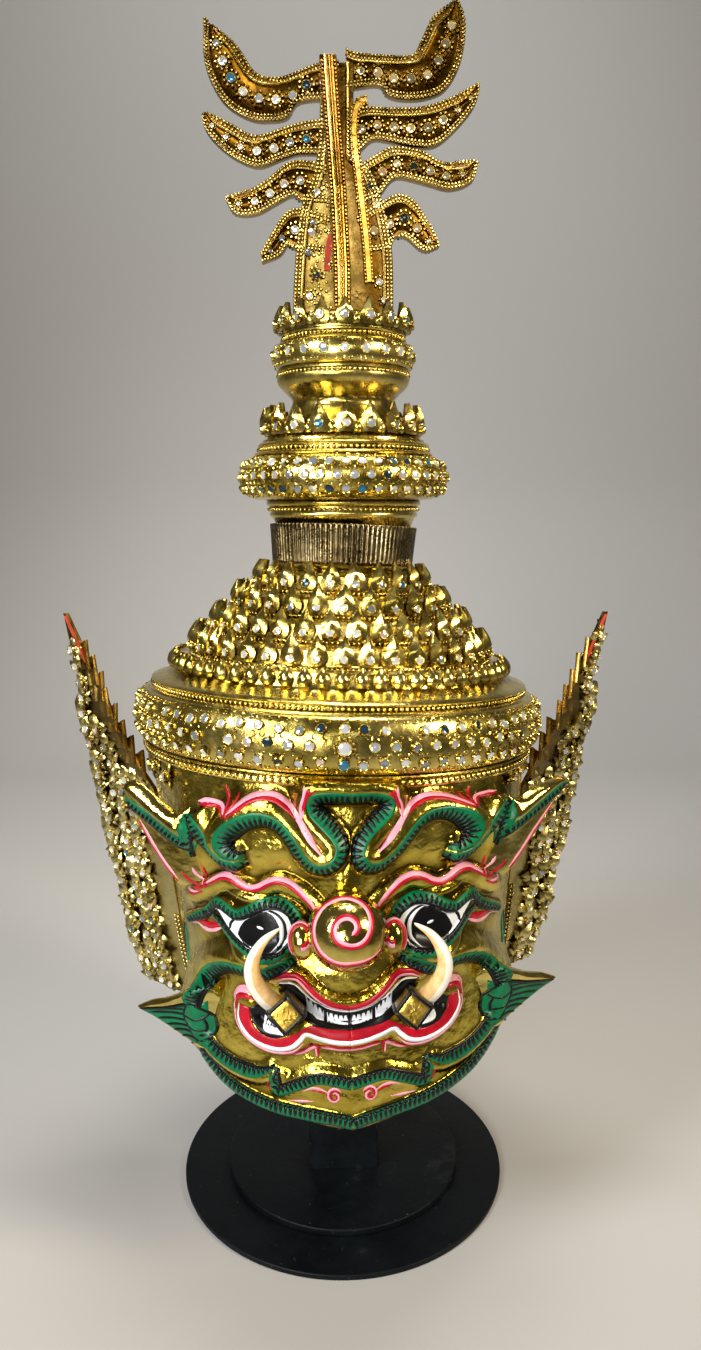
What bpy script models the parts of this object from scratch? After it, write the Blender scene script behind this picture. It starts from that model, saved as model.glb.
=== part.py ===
"""A khon mask of a giant: a lacquered and gilded head with a tall crown, on its round black stand.

Units are metres, +Z is up, the mask looks along -Y, and the origin is on the ground under
the middle of the stand's foot.

The head is worked out in a frame of its own, upright, and pose_head() then leans it back
and rolls it a little, as it hangs on its post. Places on the face are given as (u, z) in
millimetres: u is the distance out from the middle line, z the height above the ground.
"""
import bpy
import bmesh
import numpy as np
from math import radians, pi
from mathutils import Matrix

MM = 0.001

# Stand
FOOT_RADIUS = 0.1035
FOOT_THICKNESS = 0.0035
STEP_RADIUS = 0.075
STEP_THICKNESS = 0.0045
POST_SIDE = 0.044
FIT_GAP = 0.0003

# How the head hangs on its post
HEAD_LEAN = radians(3.0)
HEAD_ROLL = radians(1.6)
HANG_HEIGHT = 0.200
CROWN_ROLL = radians(-1.8)
CROWN_ROLL_HEIGHT = 0.304
CROWN_OFFSET = -0.0025

# Head shell: height, half width, depth in front and depth behind of the plain egg shape
WALL = 0.004
HEAD_SLIMMING = 0.29
HEAD_HEIGHTS = [0.095, 0.105, 0.130, 0.170, 0.210, 0.250, 0.285, 0.300]
HEAD_HALF_WIDTHS = [0.080, 0.084, 0.093, 0.099, 0.104, 0.110, 0.1135, 0.1135]
HEAD_FRONTS = [0.108, 0.112, 0.116, 0.118, 0.118, 0.1165, 0.1140, 0.1135]
HEAD_BACKS = [0.086, 0.089, 0.096, 0.103, 0.110, 0.1135, 0.1145, 0.1140]
RELIEF_SKIN = 0.008
JAW_FRONT = 0.1240
JAW_SIDE = 0.1150
JAW_TOP = 0.186
JAW_FULL = 0.135
JAW_SKEW = 0.0040

# Lower edge of the shell: angle from the front in degrees, height
RIM_ANGLES = [0, 12, 30, 42, 49, 55, 63, 75, 100, 180]
RIM_HEIGHTS = [0.105, 0.111, 0.113, 0.117, 0.127, 0.136, 0.138, 0.132, 0.128, 0.125]

# Crown: its pieces are placed by their radius and their rise above the bottom of the crown
CROWN_BOTTOM = 0.2835
CROWN_BLEND = 0.0175
SHELL_OVERLAP = 0.0055
TORUS_RADIUS = 0.1240
CROWN_STEPS = [(0.1160, 0.0), (0.1178, 0.0030), (0.1165, 0.0060), (0.1215, 0.0115), (TORUS_RADIUS, 0.0205),
               (0.1222, 0.0300), (0.1165, 0.0365), (0.1135, 0.0375), (0.1135, 0.0415), (0.1105, 0.0430),
               (0.1010, 0.0475), (0.1042, 0.0510), (0.1025, 0.0580), (0.0950, 0.0570)]
COLLAR_RISE = 0.1336
COLLAR_RADIUS = 0.0443
COLLAR_FOOT = [(0.0412, 0.1095), (0.0420, 0.1110)]
TIERS = 4
TIER_LOW = (0.0869, 0.0615)
TIER_HIGH = (0.0486, 0.0998)
PETALS = 36
PETAL_HEIGHT = 0.0125
CEILING_RISE = 0.0845
CEILING_RADIUS = 0.0500
HOLLOW_STEPS = [(0.1070, 0.0325), (0.0800, 0.0545), (CEILING_RADIUS, CEILING_RISE)]
COLLAR_TOP = CROWN_BOTTOM + COLLAR_RISE
CEILING = CROWN_BOTTOM + CEILING_RISE

# Spire: radius and rise above the collar in millimetres, which stretches to reach its top
SPIRE_PETALS = 16
SPIRE_TOP = 0.5350
SPIRE_FOOT = 40.5
SPIRE_PROFILE = [(44.0, 5.4), (46.2, 8.9), (46.2, 12.9), (47.5, 14.9), (58.5, 20.9), (61.2, 28.9), (59.0, 35.9),
                 (52.5, 40.4), (51.5, 42.9), (49.5, 46.4), (48.0, 49.4), (45.2, 52.4), (46.5, 57.9), (45.2, 69.9),
                 (38.0, 61.9), (29.5, 70.9), (35.5, 77.4), (39.2, 83.9), (38.5, 88.9), (41.2, 95.9), (39.0, 103.9),
                 (35.2, 106.9), (35.2, 111.9), (38.5, 113.9), (38.5, 124.9), (33.0, 117.9)]
SPIRE_PETAL_RINGS = (14, 25)

# Finial
FIN_THICKNESS = 0.0075
RIB_THICKNESS = 0.0095
RIB_TILT = radians(4.8)
TILT_RISE = 0.035
CORE_PROFILE = [(0.0290, FIT_GAP), (0.0200, 0.0300), (0.0110, 0.0650), (0.0065, 0.1310)]

# Ear ornaments and tusks
EAR_THICKNESS = 0.005
EAR_GAP = 0.0018
EAR_TURN = radians(40)
TUSK_RADIUS = 0.0058


def smooth(x):
    """Ease from 0 to 1 as x goes from 0 to 1."""
    x = np.clip(x, 0.0, 1.0)
    return x * x * (3.0 - 2.0 * x)


def spline(points, steps=6):
    """Points along a smooth curve (Catmull-Rom) through the points given."""
    p = np.asarray(points, float)
    p = np.vstack([2 * p[0] - p[1], p, 2 * p[-1] - p[-2]])
    t = np.linspace(0, 1, steps, endpoint=False)[:, None]
    runs = []
    for a, b, c, d in zip(p[:-3], p[1:-2], p[2:-1], p[3:]):
        runs.append(0.5 * (2 * b + (c - a) * t + (2 * a - 5 * b + 4 * c - d) * t ** 2
                           + (3 * b - a - 3 * c + d) * t ** 3))
    return np.vstack(runs + [p[-2:-1]])


def distance_to(path, u, z):
    """Distance of each place (u, z) from a path, and how far along the path it lies, 0 to 1."""
    best = np.full(u.shape, 1e9)
    along = np.zeros(u.shape)
    count = len(path) - 1
    for k in range(count):
        a, b = path[k], path[k + 1]
        run = b - a
        t = np.clip(((u - a[0]) * run[0] + (z - a[1]) * run[1]) / (run @ run), 0, 1)
        d = np.hypot(u - a[0] - t * run[0], z - a[1] - t * run[1])
        nearer = d < best
        best = np.where(nearer, d, best)
        along = np.where(nearer, (k + t) / count, along)
    return best, along


def ridge(points, u, z, half_width, height, steps=6):
    """A rounded ridge along a path."""
    d, along = distance_to(spline(np.array(points) * MM, steps), u, z)
    return height * np.sqrt(np.clip(1 - (d / half_width) ** 2, 0, 1))


def mound(u, z, centre, spread, height, power=2.0):
    """A soft mound or hollow round a place."""
    d = ((u - centre[0] * MM) / (spread[0] * MM)) ** 2 + ((z - centre[1] * MM) / (spread[1] * MM)) ** 2
    return height * np.exp(-0.5 * d ** (power / 2))


def knob(u, z, centre, radius, height, power=0.5):
    """A round boss with a steep side."""
    d = np.hypot(u - centre[0] * MM, z - centre[1] * MM) / radius
    return height * np.clip(1 - d ** 2, 0, 1) ** power


# Paths on the face, in millimetres
BROW_ROPE = [(0, 279), (13, 279), (20, 277), (18, 270), (9, 263), (4, 254), (7, 246), (15, 243.5),
             (22, 247), (29, 255), (36, 263.5), (46, 267.5), (56, 263), (64, 254), (60, 248), (51, 247.5)]
BROW_OUTER = [(51, 247.5), (59, 244.5), (70, 248.5), (79, 258), (85, 269)]
BROW_GOLD = [(24, 262), (31, 270), (44, 276), (56, 272), (68, 260), (76, 264), (84, 272)]
LOWER_BROW = [(14, 224), (19, 231), (28, 238.5), (38, 238), (51, 231.5), (60, 235.5), (73, 232), (88, 222)]
EYE_UPPER = [(27, 207), (29, 218), (37, 224), (47, 222), (57, 219), (65, 221), (74, 218), (90, 205)]
CHEEK_ROLL = [(24, 197), (36, 199), (52, 197), (65, 197), (80, 189), (92, 176), (100, 166)]
UPPER_LIP = [(0, 181), (12, 184), (24, 191), (36, 190)]
MOUTH_SLOT = [(0, 169), (22, 171), (36, 176), (50, 178)]
LOWER_LIP = [(0, 155), (23, 157), (40, 151), (56, 152), (63, 163), (62, 174)]
JAW_BAND = [(0, 128), (20, 135), (41, 123), (42, 137), (61, 131), (78, 139), (88, 155), (86, 172),
            (76, 181), (64, 186), (50, 185), (34, 192)]
JAW_EDGE = [(0, 106), (20, 112), (42, 114), (62, 117), (80, 122), (92, 134), (101, 146)]


def egg_radius(phi, z):
    """Radius of the plain head at an angle from the front and a height: two half ellipses."""
    side = np.interp(z, HEAD_HEIGHTS, HEAD_HALF_WIDTHS)
    front = np.interp(z, HEAD_HEIGHTS, HEAD_FRONTS)
    back = np.interp(z, HEAD_HEIGHTS, HEAD_BACKS)
    depth = np.where(np.cos(phi) > 0, front, back)
    return 1.0 / np.sqrt((np.sin(phi) / side) ** 2 + (np.cos(phi) / depth) ** 2)


def jaw_level(phi, z):
    """Height on the face with the skew of the jaw taken off: it hangs lower on one side."""
    return z - JAW_SKEW * np.sin(phi) * (1 - smooth((z - 0.155) / 0.035))


def head_radius(phi, z):
    """The plain head with the jaw plate, which stands out from it as a wide band in front."""
    egg = egg_radius(phi, z)
    z = jaw_level(phi, z)
    rise = 1 - smooth((z - JAW_FULL) / (JAW_TOP - JAW_FULL))
    wrap = 1 - smooth((np.abs(phi) - radians(60)) / radians(9))
    plate = JAW_SIDE + (JAW_FRONT - JAW_SIDE) * (1 - smooth(np.abs(phi) / radians(48)))
    return egg + (plate - egg) * rise * wrap


def flap(phi, z, start, end, heights, widths, lift):
    """A pointed flap that grows out along a slanting line on the side of the head."""
    a = np.abs(phi)
    s = (a - radians(start[0])) / radians(end[0] - start[0])
    middle = (start[1] + (end[1] - start[1]) * s) * MM
    grow = np.clip(s, 0, 1)
    half = (widths[0] + (widths[1] - widths[0]) * grow) * MM
    height = heights[0] + (heights[1] - heights[0]) * grow ** lift
    fall = np.where(s > 1, 1 - smooth((s - 1) / 0.16), smooth((s + 0.25) / 0.25))
    across = np.clip(1 - ((z - middle) / half) ** 2, 0, 1) ** 0.45
    return height * MM * fall * across


def relief(phi, z, radius):
    """Height of the carving above the plain head."""
    u = np.abs((radius + RELIEF_SKIN) * np.sin(phi))
    z = jaw_level(phi, z)
    front = np.cos(phi) > 0.1
    broad = (mound(u, z, (0, 186), (38, 15), 0.009) + mound(u, z, (0, 240), (13, 16), 0.011)
             + mound(u, z, (60, 190), (16, 9), 0.005) + mound(u, z, (52, 257), (30, 11), 0.005, 4)
             + mound(u, z, (50, 210), (22, 9), -0.006) + knob(u, z, (45, 211), 0.014, 0.006)
             + mound(u, z, (0, 120), (14, 9), 0.003) + mound(u, z, (0, 285), (26, 5), 0.006))
    ridges = [ridge(BROW_ROPE, u, z, 0.0042, 0.0065), ridge(BROW_OUTER, u, z, 0.0042, 0.0065),
              ridge(BROW_GOLD, u, z, 0.0075, 0.0060), ridge(LOWER_BROW, u, z, 0.0050, 0.0050),
              ridge(EYE_UPPER, u, z, 0.0035, 0.0040), ridge(CHEEK_ROLL, u, z, 0.0065, 0.0065),
              ridge(UPPER_LIP, u, z, 0.0045, 0.0040), ridge(LOWER_LIP, u, z, 0.0055, 0.0060),
              ridge(JAW_BAND, u, z, 0.0040, 0.0030), ridge(JAW_EDGE, u, z, 0.0050, 0.0025),
              knob(u, z, (0, 217), 0.0205, 0.036), knob(u, z, (24, 209), 0.0095, 0.020),
              knob(u, z, (32, 174), 0.0115, 0.017, 0.25)]
    slot = ridge(MOUTH_SLOT, u, z, 0.0055, 0.0050)
    flaps = np.maximum(flap(phi, z, (44, 256), (66, 268.5), (8, 29), (13, 4.5), 1.3),
                       flap(phi, z, (46, 153), (62.5, 155), (6, 24), (24, 5), 1.5))
    return np.where(front, np.maximum(broad + np.max(ridges, axis=0) - slot, flaps), 0.0)


def rolled(points, angle, height, offset):
    """Points rolled about the Y direction at a height on the axis, and moved sideways."""
    z = points[:, 2] - height
    x = points[:, 0] * np.cos(angle) - z * np.sin(angle) + offset
    return np.stack([x, points[:, 1], points[:, 0] * np.sin(angle) + z * np.cos(angle) + height], 1)


def leaned(points):
    """Points leaned back about X at the height where the head hangs."""
    z = points[:, 2] - HANG_HEIGHT
    cos, sin = np.cos(HEAD_LEAN), np.sin(HEAD_LEAN)
    return np.stack([points[:, 0], points[:, 1] * cos + z * sin, z * cos - points[:, 1] * sin + HANG_HEIGHT], 1)


def pose_head(points, whole=False):
    """Pose the head as it hangs: the face rolls one way, the crown a little the other way,
    with a smooth change between them, and both lean back. A whole piece rolls with the face."""
    p = np.array(points, float)
    fade = np.ones(len(p)) if whole else 1 - smooth((p[:, 2] - CROWN_BOTTOM + CROWN_BLEND) / CROWN_BLEND)
    face = rolled(p, HEAD_ROLL, HANG_HEIGHT, 0.0)
    crown = rolled(p, CROWN_ROLL, CROWN_ROLL_HEIGHT, CROWN_OFFSET)
    return leaned(crown + (face - crown) * fade[:, None])


def height_on_crown(level, places):
    """Height, over places (x, y) on the ground, of the crown's tilted plane at a level."""
    a, b, c = pose_head([(0, 0, level), (1, 0, level), (0, 1, level)])
    normal = np.cross(b - a, c - a)
    return a[2] - ((places[:, 0] - a[0]) * normal[0] + (places[:, 1] - a[1]) * normal[1]) / normal[2]


def material(name, colour, roughness, metallic):
    """A plain Principled material."""
    made = bpy.data.materials.new(name)
    made.use_nodes = True
    shader = made.node_tree.nodes["Principled BSDF"]
    shader.inputs["Base Color"].default_value = (*colour, 1.0)
    shader.inputs["Roughness"].default_value = roughness
    shader.inputs["Metallic"].default_value = metallic
    return made


def add_object(name, points, faces, finish, hide=False):
    """Put a mesh in the scene, with its faces turned outwards."""
    mesh = bpy.data.meshes.new(name)
    mesh.from_pydata([tuple(p) for p in points], [], [tuple(f) for f in faces])
    work = bmesh.new()
    work.from_mesh(mesh)
    bmesh.ops.recalc_face_normals(work, faces=work.faces)
    work.to_mesh(mesh)
    work.free()
    mesh.materials.append(finish)
    mesh.shade_smooth()
    mesh.set_sharp_from_angle(angle=radians(40))
    made = bpy.data.objects.new(name, mesh)
    bpy.context.scene.collection.objects.link(made)
    if hide:
        made.hide_render = True
        made.display_type = "WIRE"
    return made


def rings_to_faces(rows, columns):
    """Faces of a closed form of stacked rings, with a lid on its first and last ring."""
    i = np.repeat(np.arange(rows - 1), columns)
    j = np.tile(np.arange(columns), rows - 1)
    k = (j + 1) % columns
    quads = np.stack([i * columns + j, i * columns + k, (i + 1) * columns + k, (i + 1) * columns + j], 1)
    faces = [tuple(q) for q in quads.tolist()]
    faces.append(tuple(range(columns))[::-1])
    faces.append(tuple((rows - 1) * columns + c for c in range(columns)))
    return faces


def combine(target, tool, operation):
    """Join a tool to a target or cut it out, and drop the tool."""
    step = target.modifiers.new(operation.lower(), "BOOLEAN")
    step.operation = operation
    step.object = tool
    apply_all(target)
    bpy.data.objects.remove(tool)


def apply_all(target):
    """Turn an object's modifiers into its mesh."""
    view = bpy.context.evaluated_depsgraph_get()
    mesh = bpy.data.meshes.new_from_object(target.evaluated_get(view))
    target.modifiers.clear()
    target.data = mesh


def weld(target, reach=0.0008):
    """Merge points closer than the reach, which clears the slivers that a cut leaves."""
    work = bmesh.new()
    work.from_mesh(target.data)
    bmesh.ops.triangulate(work, faces=work.faces)
    bmesh.ops.remove_doubles(work, verts=work.verts, dist=reach)
    bmesh.ops.dissolve_degenerate(work, edges=work.edges, dist=reach / 6)
    work.to_mesh(target.data)
    work.free()


def turned(name, profile, columns, finish, petals=(), hide=False):
    """A form turned about the Z axis. Rings named in petals rise and fall from column to column."""
    angles = np.arange(columns) * 2 * pi / columns
    points = []
    for row, (radius, z) in enumerate(profile):
        dip = np.zeros(columns)
        if row in petals:
            dip = np.where(np.arange(columns) % 2 == 1, -0.6 * PETAL_HEIGHT, 0.0)
        points.append(np.stack([radius * np.sin(angles), -radius * np.cos(angles), z + dip], 1))
    return add_object(name, np.vstack(points), rings_to_faces(len(profile), columns), finish, hide)


def make_stand(black):
    """The foot disc, the smaller disc on it, and the square post up inside the head."""
    for name, radius, low, thick in (("stand_foot", FOOT_RADIUS, 0.0, FOOT_THICKNESS),
                                     ("stand_step", STEP_RADIUS, FOOT_THICKNESS + FIT_GAP, STEP_THICKNESS)):
        turned(name, [(radius, low), (radius, low + thick)], 48, black)
    foot = FOOT_THICKNESS + STEP_THICKNESS + 2 * FIT_GAP
    half = POST_SIDE / 2
    corners = np.array([(-half, -half), (half, -half), (half, half), (-half, half)])
    low = np.column_stack([corners, np.full(4, foot)])
    top = height_on_crown(CEILING - FIT_GAP, corners)
    high = np.column_stack([corners, top])
    add_object("stand_post", np.vstack([low, high]), rings_to_faces(2, 4), black)


def make_head(gold):
    """The hollow head with its carved face, joined with the stepped crown it carries."""
    front = np.linspace(-radians(76), radians(76), 96)
    back = np.linspace(radians(76), 2 * pi - radians(76), 26)[1:-1]
    phi = np.concatenate([front, back])
    turn = (phi + pi) % (2 * pi) - pi
    rows = 62
    points = []
    rim = np.interp(np.degrees(np.abs(turn)), RIM_ANGLES, RIM_HEIGHTS) + JAW_SKEW * np.sin(turn)
    for row in range(rows):
        z = rim + (CROWN_BOTTOM + SHELL_OVERLAP - rim) * row / (rows - 1)
        radius = head_radius(turn, z)
        radius = radius + relief(turn, z, radius)
        points.append(np.stack([radius * np.sin(phi), -radius * np.cos(phi), z], 1))
    head = add_object("mask_head", pose_head(np.vstack(points)), rings_to_faces(rows, len(phi)), gold)
    crown = make_crown(gold)
    combine(head, crown, "UNION")
    combine(head, make_hollow(gold), "DIFFERENCE")
    weld(head)
    return head


def tier_profile(radius, z):
    """Outline of one tier of the crown: a low step, a ring of petals and the trough behind it."""
    return [(radius + 0.0030, z - 0.0050), (radius + 0.0032, z + 0.0010),
            (radius + 0.0005, z + PETAL_HEIGHT - 0.0015), (radius - 0.0040, z + 0.0035)]


def make_crown(gold):
    """The big torus, the sloping band, the ring of buds, the tiers of petals and the collar."""
    profile = list(CROWN_STEPS)
    petals = []
    for k in range(TIERS):
        share = k / (TIERS - 1)
        radius = TIER_LOW[0] + (TIER_HIGH[0] - TIER_LOW[0]) * share
        z = TIER_LOW[1] + (TIER_HIGH[1] - TIER_LOW[1]) * share
        petals.append(len(profile) + 2)
        profile += tier_profile(radius, z)
    profile += COLLAR_FOOT + [(COLLAR_RADIUS, COLLAR_RISE)]
    profile = [(radius, CROWN_BOTTOM + rise) for radius, rise in profile]
    crown = turned("crown", profile, 2 * PETALS, gold, petals, hide=True)
    place = np.array([v.co for v in crown.data.vertices])
    for vertex, spot in zip(crown.data.vertices, pose_head(place)):
        vertex.co = spot
    return crown


def make_hollow(gold):
    """The inside of the head: the egg shape less its wall, up into the crown."""
    columns = 40
    phi = np.arange(columns) * 2 * pi / columns
    turn = (phi + pi) % (2 * pi) - pi
    points = []
    for z in (0.085, 0.110, 0.140, 0.175, 0.210, 0.250, CROWN_BOTTOM + SHELL_OVERLAP + 0.001):
        radius = egg_radius(turn, np.full(columns, z)) - WALL
        points.append(np.stack([radius * np.sin(phi), -radius * np.cos(phi), np.full(columns, z)], 1))
    for radius, rise in HOLLOW_STEPS:
        points.append(np.stack([radius * np.sin(phi), -radius * np.cos(phi), np.full(columns, CROWN_BOTTOM + rise)], 1))
    return add_object("hollow", pose_head(np.vstack(points)), rings_to_faces(len(points), columns), gold, True)


def make_spire(gold):
    """The turned upper crown, a piece of its own that sits on the collar."""
    shift = pose_head([(0, 0, COLLAR_TOP + FIT_GAP)])[0]
    stretch = (SPIRE_TOP - COLLAR_TOP) / SPIRE_PROFILE[-1][1]
    profile = [(SPIRE_FOOT * MM, shift[2])]
    profile += [(radius * MM, COLLAR_TOP + rise * stretch) for radius, rise in SPIRE_PROFILE]
    spire = turned("crown_spire", profile, 2 * SPIRE_PETALS, gold, petals=SPIRE_PETAL_RINGS)
    for index, vertex in enumerate(spire.data.vertices):
        vertex.co.x += shift[0]
        vertex.co.y += shift[1]
        if index < 2 * SPIRE_PETALS:
            vertex.co.z = height_on_crown(COLLAR_TOP + FIT_GAP, np.array([vertex.co.xy]))[0]
    return shift


# Feathers of a fin, top one first: upper and lower edge from root to tip, out from the axis
# and up from the top of the spire, in millimetres
RIGHT_FEATHERS = [([(2, 144), (7, 142), (23, 141), (38, 141), (43, 148), (49, 159), (60, 168)],
                   [(2, 123), (20, 125), (25, 120), (34, 118), (47, 119), (58, 124), (66, 138), (68, 157), (64, 170)]),
                  ([(3, 108), (10, 114), (29, 114), (46, 115), (61, 120), (74, 126)],
                   [(6, 87), (12, 93), (19, 97), (38, 94), (52, 94), (64, 103), (74, 115), (77, 126)]),
                  ([(6, 82), (14, 87), (21, 91), (29, 94), (44, 92), (57, 86), (73, 87)],
                   [(8, 63), (20, 67), (27, 75), (33, 77), (47, 74), (61, 71), (73, 75), (77, 85)]),
                  ([(8, 57), (22, 65), (32, 69), (41, 65), (49, 54), (54, 44)],
                   [(12, 37), (26, 39), (30, 45), (36, 45), (46, 38), (55, 40)])]
LEFT_FEATHERS = [([(3, 138), (15, 136), (35, 129), (48, 131), (58, 144), (68, 152)],
                  [(3, 118), (24, 116), (31, 108), (40, 106), (52, 107), (65, 114), (73, 125), (77, 138), (77, 158)]),
                 ([(3, 108), (18, 107), (31, 104), (49, 99), (63, 105), (75, 110)],
                  [(3, 89), (24, 89), (35, 86), (47, 82), (58, 85), (69, 92), (77, 101), (79, 109)]),
                 ([(6, 83), (20, 86), (31, 85), (43, 76), (54, 70), (64, 67)],
                  [(8, 63), (22, 64), (28, 67), (37, 63), (49, 57), (61, 57), (67, 65)]),
                 ([(8, 57), (25, 61), (33, 58), (40, 49), (47, 37)],
                  [(12, 37), (27, 39), (31, 41), (36, 35), (46, 31)])]
TRUNK_RIGHT = [(29, 11), (28, 39), (23, 63), (16, 80), (7, 87), (6, 105), (6, 139)]
TRUNK_RIB = [(29, 11), (27, 39), (22, 65), (17, 90), (14, 115), (12, 140)]
TRUNK_LEFT = [(29, 11), (27, 39), (24, 61), (18, 75), (14, 93), (13, 115), (13, 137)]
FIN_FOOT = 0.029


def above_spire(points):
    """Places of a fin, given from the top of the spire in millimetres, in metres above the ground."""
    return np.array(points) * MM + (0.0, SPIRE_TOP)


def feather_outline(upper, lower):
    """Outline of a feather: along its upper edge to the tip and back along its lower edge."""
    return np.vstack([spline(above_spire(upper), 2), spline(above_spire(lower), 2)[::-1]])


def plate(name, outline, thickness, finish):
    """A flat plate in the XZ plane with a given outline."""
    count = len(outline)
    points = [(x, -thickness / 2, z) for x, z in outline] + [(x, thickness / 2, z) for x, z in outline]
    faces = [tuple(range(count)), tuple(range(2 * count - 1, count - 1, -1))]
    faces += [(k, (k + 1) % count, count + (k + 1) % count, count + k) for k in range(count)]
    return add_object(name, points, faces, finish, hide=True)


def make_finial(gold, shift):
    """Four pierced fins of curling feathers set crosswise round one trunk."""
    core = turned("crown_finial", [(radius, SPIRE_TOP + rise) for radius, rise in CORE_PROFILE], 12, gold)
    low = SPIRE_TOP + FIT_GAP + 0.0005
    foot = [(FIN_FOOT, low)]
    fins = ((0, (TRUNK_RIGHT, TRUNK_LEFT), (RIGHT_FEATHERS, LEFT_FEATHERS), FIN_THICKNESS, 0.0),
            (90, (TRUNK_RIB, TRUNK_RIB), ((), ()), RIB_THICKNESS, RIB_TILT))
    for turn, trunks, feathers, thickness, tilt in fins:
        right, left = (np.vstack([foot, above_spire(half)]) for half in trunks)
        shapes = [np.vstack([right, left[::-1] * (-1, 1)])]
        for side, edges in zip((1, -1), feathers):
            shapes += [(feather_outline(*pair) * (side, 1))[::side] for pair in edges]
        for number, outline in enumerate(shapes):
            piece = plate("fin", outline, thickness + 0.0003 * ((number + 3) % 4 + 1 if number else 0), gold)
            lean = Matrix.Identity(4)
            lean[1][2] = np.tan(tilt)
            lean[1][3] = -np.tan(tilt) * (SPIRE_TOP + TILT_RISE)
            piece.data.transform(Matrix.Rotation(radians(turn), 4, "Z") @ lean)
            combine(core, piece, "UNION")
    core.data.transform(Matrix.Translation((shift[0], shift[1], 0)))
    return core


# Ear ornament: height, outer edge and inner edge out from the middle, in millimetres. The heights
# stretch from the foot, so that the level named here lies at the bottom of the crown
EAR_FOOT = 0.135
EAR_CROWN_LEVEL = 0.2835
EAR_JOIN_DROP = 0.0215
EAR_LEVELS = [(135, 122, 112), (150, 130, 104), (166, 136, 103), (190, 141, 105), (212, 148, 107),
              (232, 150, 110), (254, 156, 117), (270, 155, 123), (297, 161, 137), (318, 160, 144),
              (336, 163, 152), (352, 165, 159), (365, 166, 164.5)]
EAR_LENGTHEN = {1: 0.0, -1: 0.017}


def make_ear(side, gold):
    """A long flame-edged ornament beside the head, turned half to the front and leaning out."""
    points = []
    stretch = (CROWN_BOTTOM - EAR_FOOT) / (EAR_CROWN_LEVEL - EAR_FOOT)
    for z, outer, inner in EAR_LEVELS:
        rise = z * MM - EAR_FOOT
        height = EAR_FOOT + rise * stretch - EAR_LENGTHEN[side] * float(1 - smooth(rise / 0.12))
        near = inner * MM
        if height < CROWN_BOTTOM - EAR_JOIN_DROP:
            level = height - side * HEAD_HALF_WIDTHS[0] * np.sin(HEAD_ROLL)
            wall = float(egg_radius(pi / 2, level)) - side * ((height - HANG_HEIGHT) * np.sin(HEAD_ROLL)
                                                             + CROWN_OFFSET)
            near = wall + EAR_THICKNESS / 2 * np.sin(EAR_TURN) + EAR_GAP
        width = (max(outer * MM, near + 0.002) - near) / np.cos(EAR_TURN)
        for along, across in ((0, -0.5), (width, -0.5), (width, 0.5), (0, 0.5)):
            x = near + along * np.cos(EAR_TURN) - across * EAR_THICKNESS * np.sin(EAR_TURN)
            y = along * np.sin(EAR_TURN) + across * EAR_THICKNESS * np.cos(EAR_TURN)
            points.append((side * x + CROWN_OFFSET, y, height))
    name = "ear_ornament_right" if side > 0 else "ear_ornament_left"
    add_object(name, leaned(np.array(points)), rings_to_faces(len(EAR_LEVELS), 4), gold)


TUSK_PATH = [(36, -128, 176), (43, -134, 186), (48, -137, 197), (47, -137, 207), (40, -135, 216), (30, -132, 223)]


def make_tusk(side, ivory, head):
    """A curved ivory tusk, whose foot is set in a socket in its gold cap."""
    path = spline(np.array(TUSK_PATH) * MM, 3)
    run = np.gradient(path, axis=0)
    run = run / np.linalg.norm(run, axis=1)[:, None]
    across = np.cross(run, (0, 1, 0))
    across = across / np.linalg.norm(across, axis=1)[:, None]
    other = np.cross(run, across)
    share = np.linspace(0, 1, len(path))
    half = TUSK_RADIUS * (1 - share ** 2.2) + 0.0006
    columns = 10
    angles = np.arange(columns) * 2 * pi / columns

    def tube(extra):
        rings = [path[k] + (half[k] + extra) * (np.outer(np.cos(angles), across[k]) + np.outer(np.sin(angles), other[k]))
                 for k in range(len(path))]
        points = np.vstack(rings)
        points[:columns] -= run[0] * extra
        points[:, 0] *= side
        return pose_head(points, whole=True)

    name = "tusk_right" if side > 0 else "tusk_left"
    faces = rings_to_faces(len(path), columns)
    combine(head, add_object("socket", tube(FIT_GAP), faces, ivory, hide=True), "DIFFERENCE")
    add_object(name, tube(0.0), faces, ivory)


def main():
    for thing in list(bpy.data.objects):
        bpy.data.objects.remove(thing)
    black = material("black_paint", (0.02, 0.021, 0.024), 0.55, 0.0)
    gold = material("gold_leaf", (0.80, 0.56, 0.16), 0.28, 1.0)
    ivory = material("ivory_lacquer", (0.85, 0.78, 0.60), 0.35, 0.0)
    make_stand(black)
    head = make_head(gold)
    slim = head.modifiers.new("slim", "DECIMATE")
    slim.ratio = HEAD_SLIMMING
    apply_all(head)
    shift = make_spire(gold)
    make_finial(gold, shift)
    for side in (-1, 1):
        make_ear(side, gold)
        make_tusk(side, ivory, head)


main()
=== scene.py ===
# %% [markdown]
# A khon mask of a giant on its black stand
#
# The mask is moulded from paper over a form, lacquered, gilded and painted, and it carries a
# crown with rows of petals, beads and small round mirrors. This lesson dresses the packed
# model: each piece is a surface worked out as whole numpy arrays, put where the frame says.
# Lengths in the tables below are in millimetres, and everything in the scene is in metres.

# %% Load the frame
from math import cos, pi, radians, sin

import bpy
import numpy as np
from mathutils import Matrix, Vector


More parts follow.
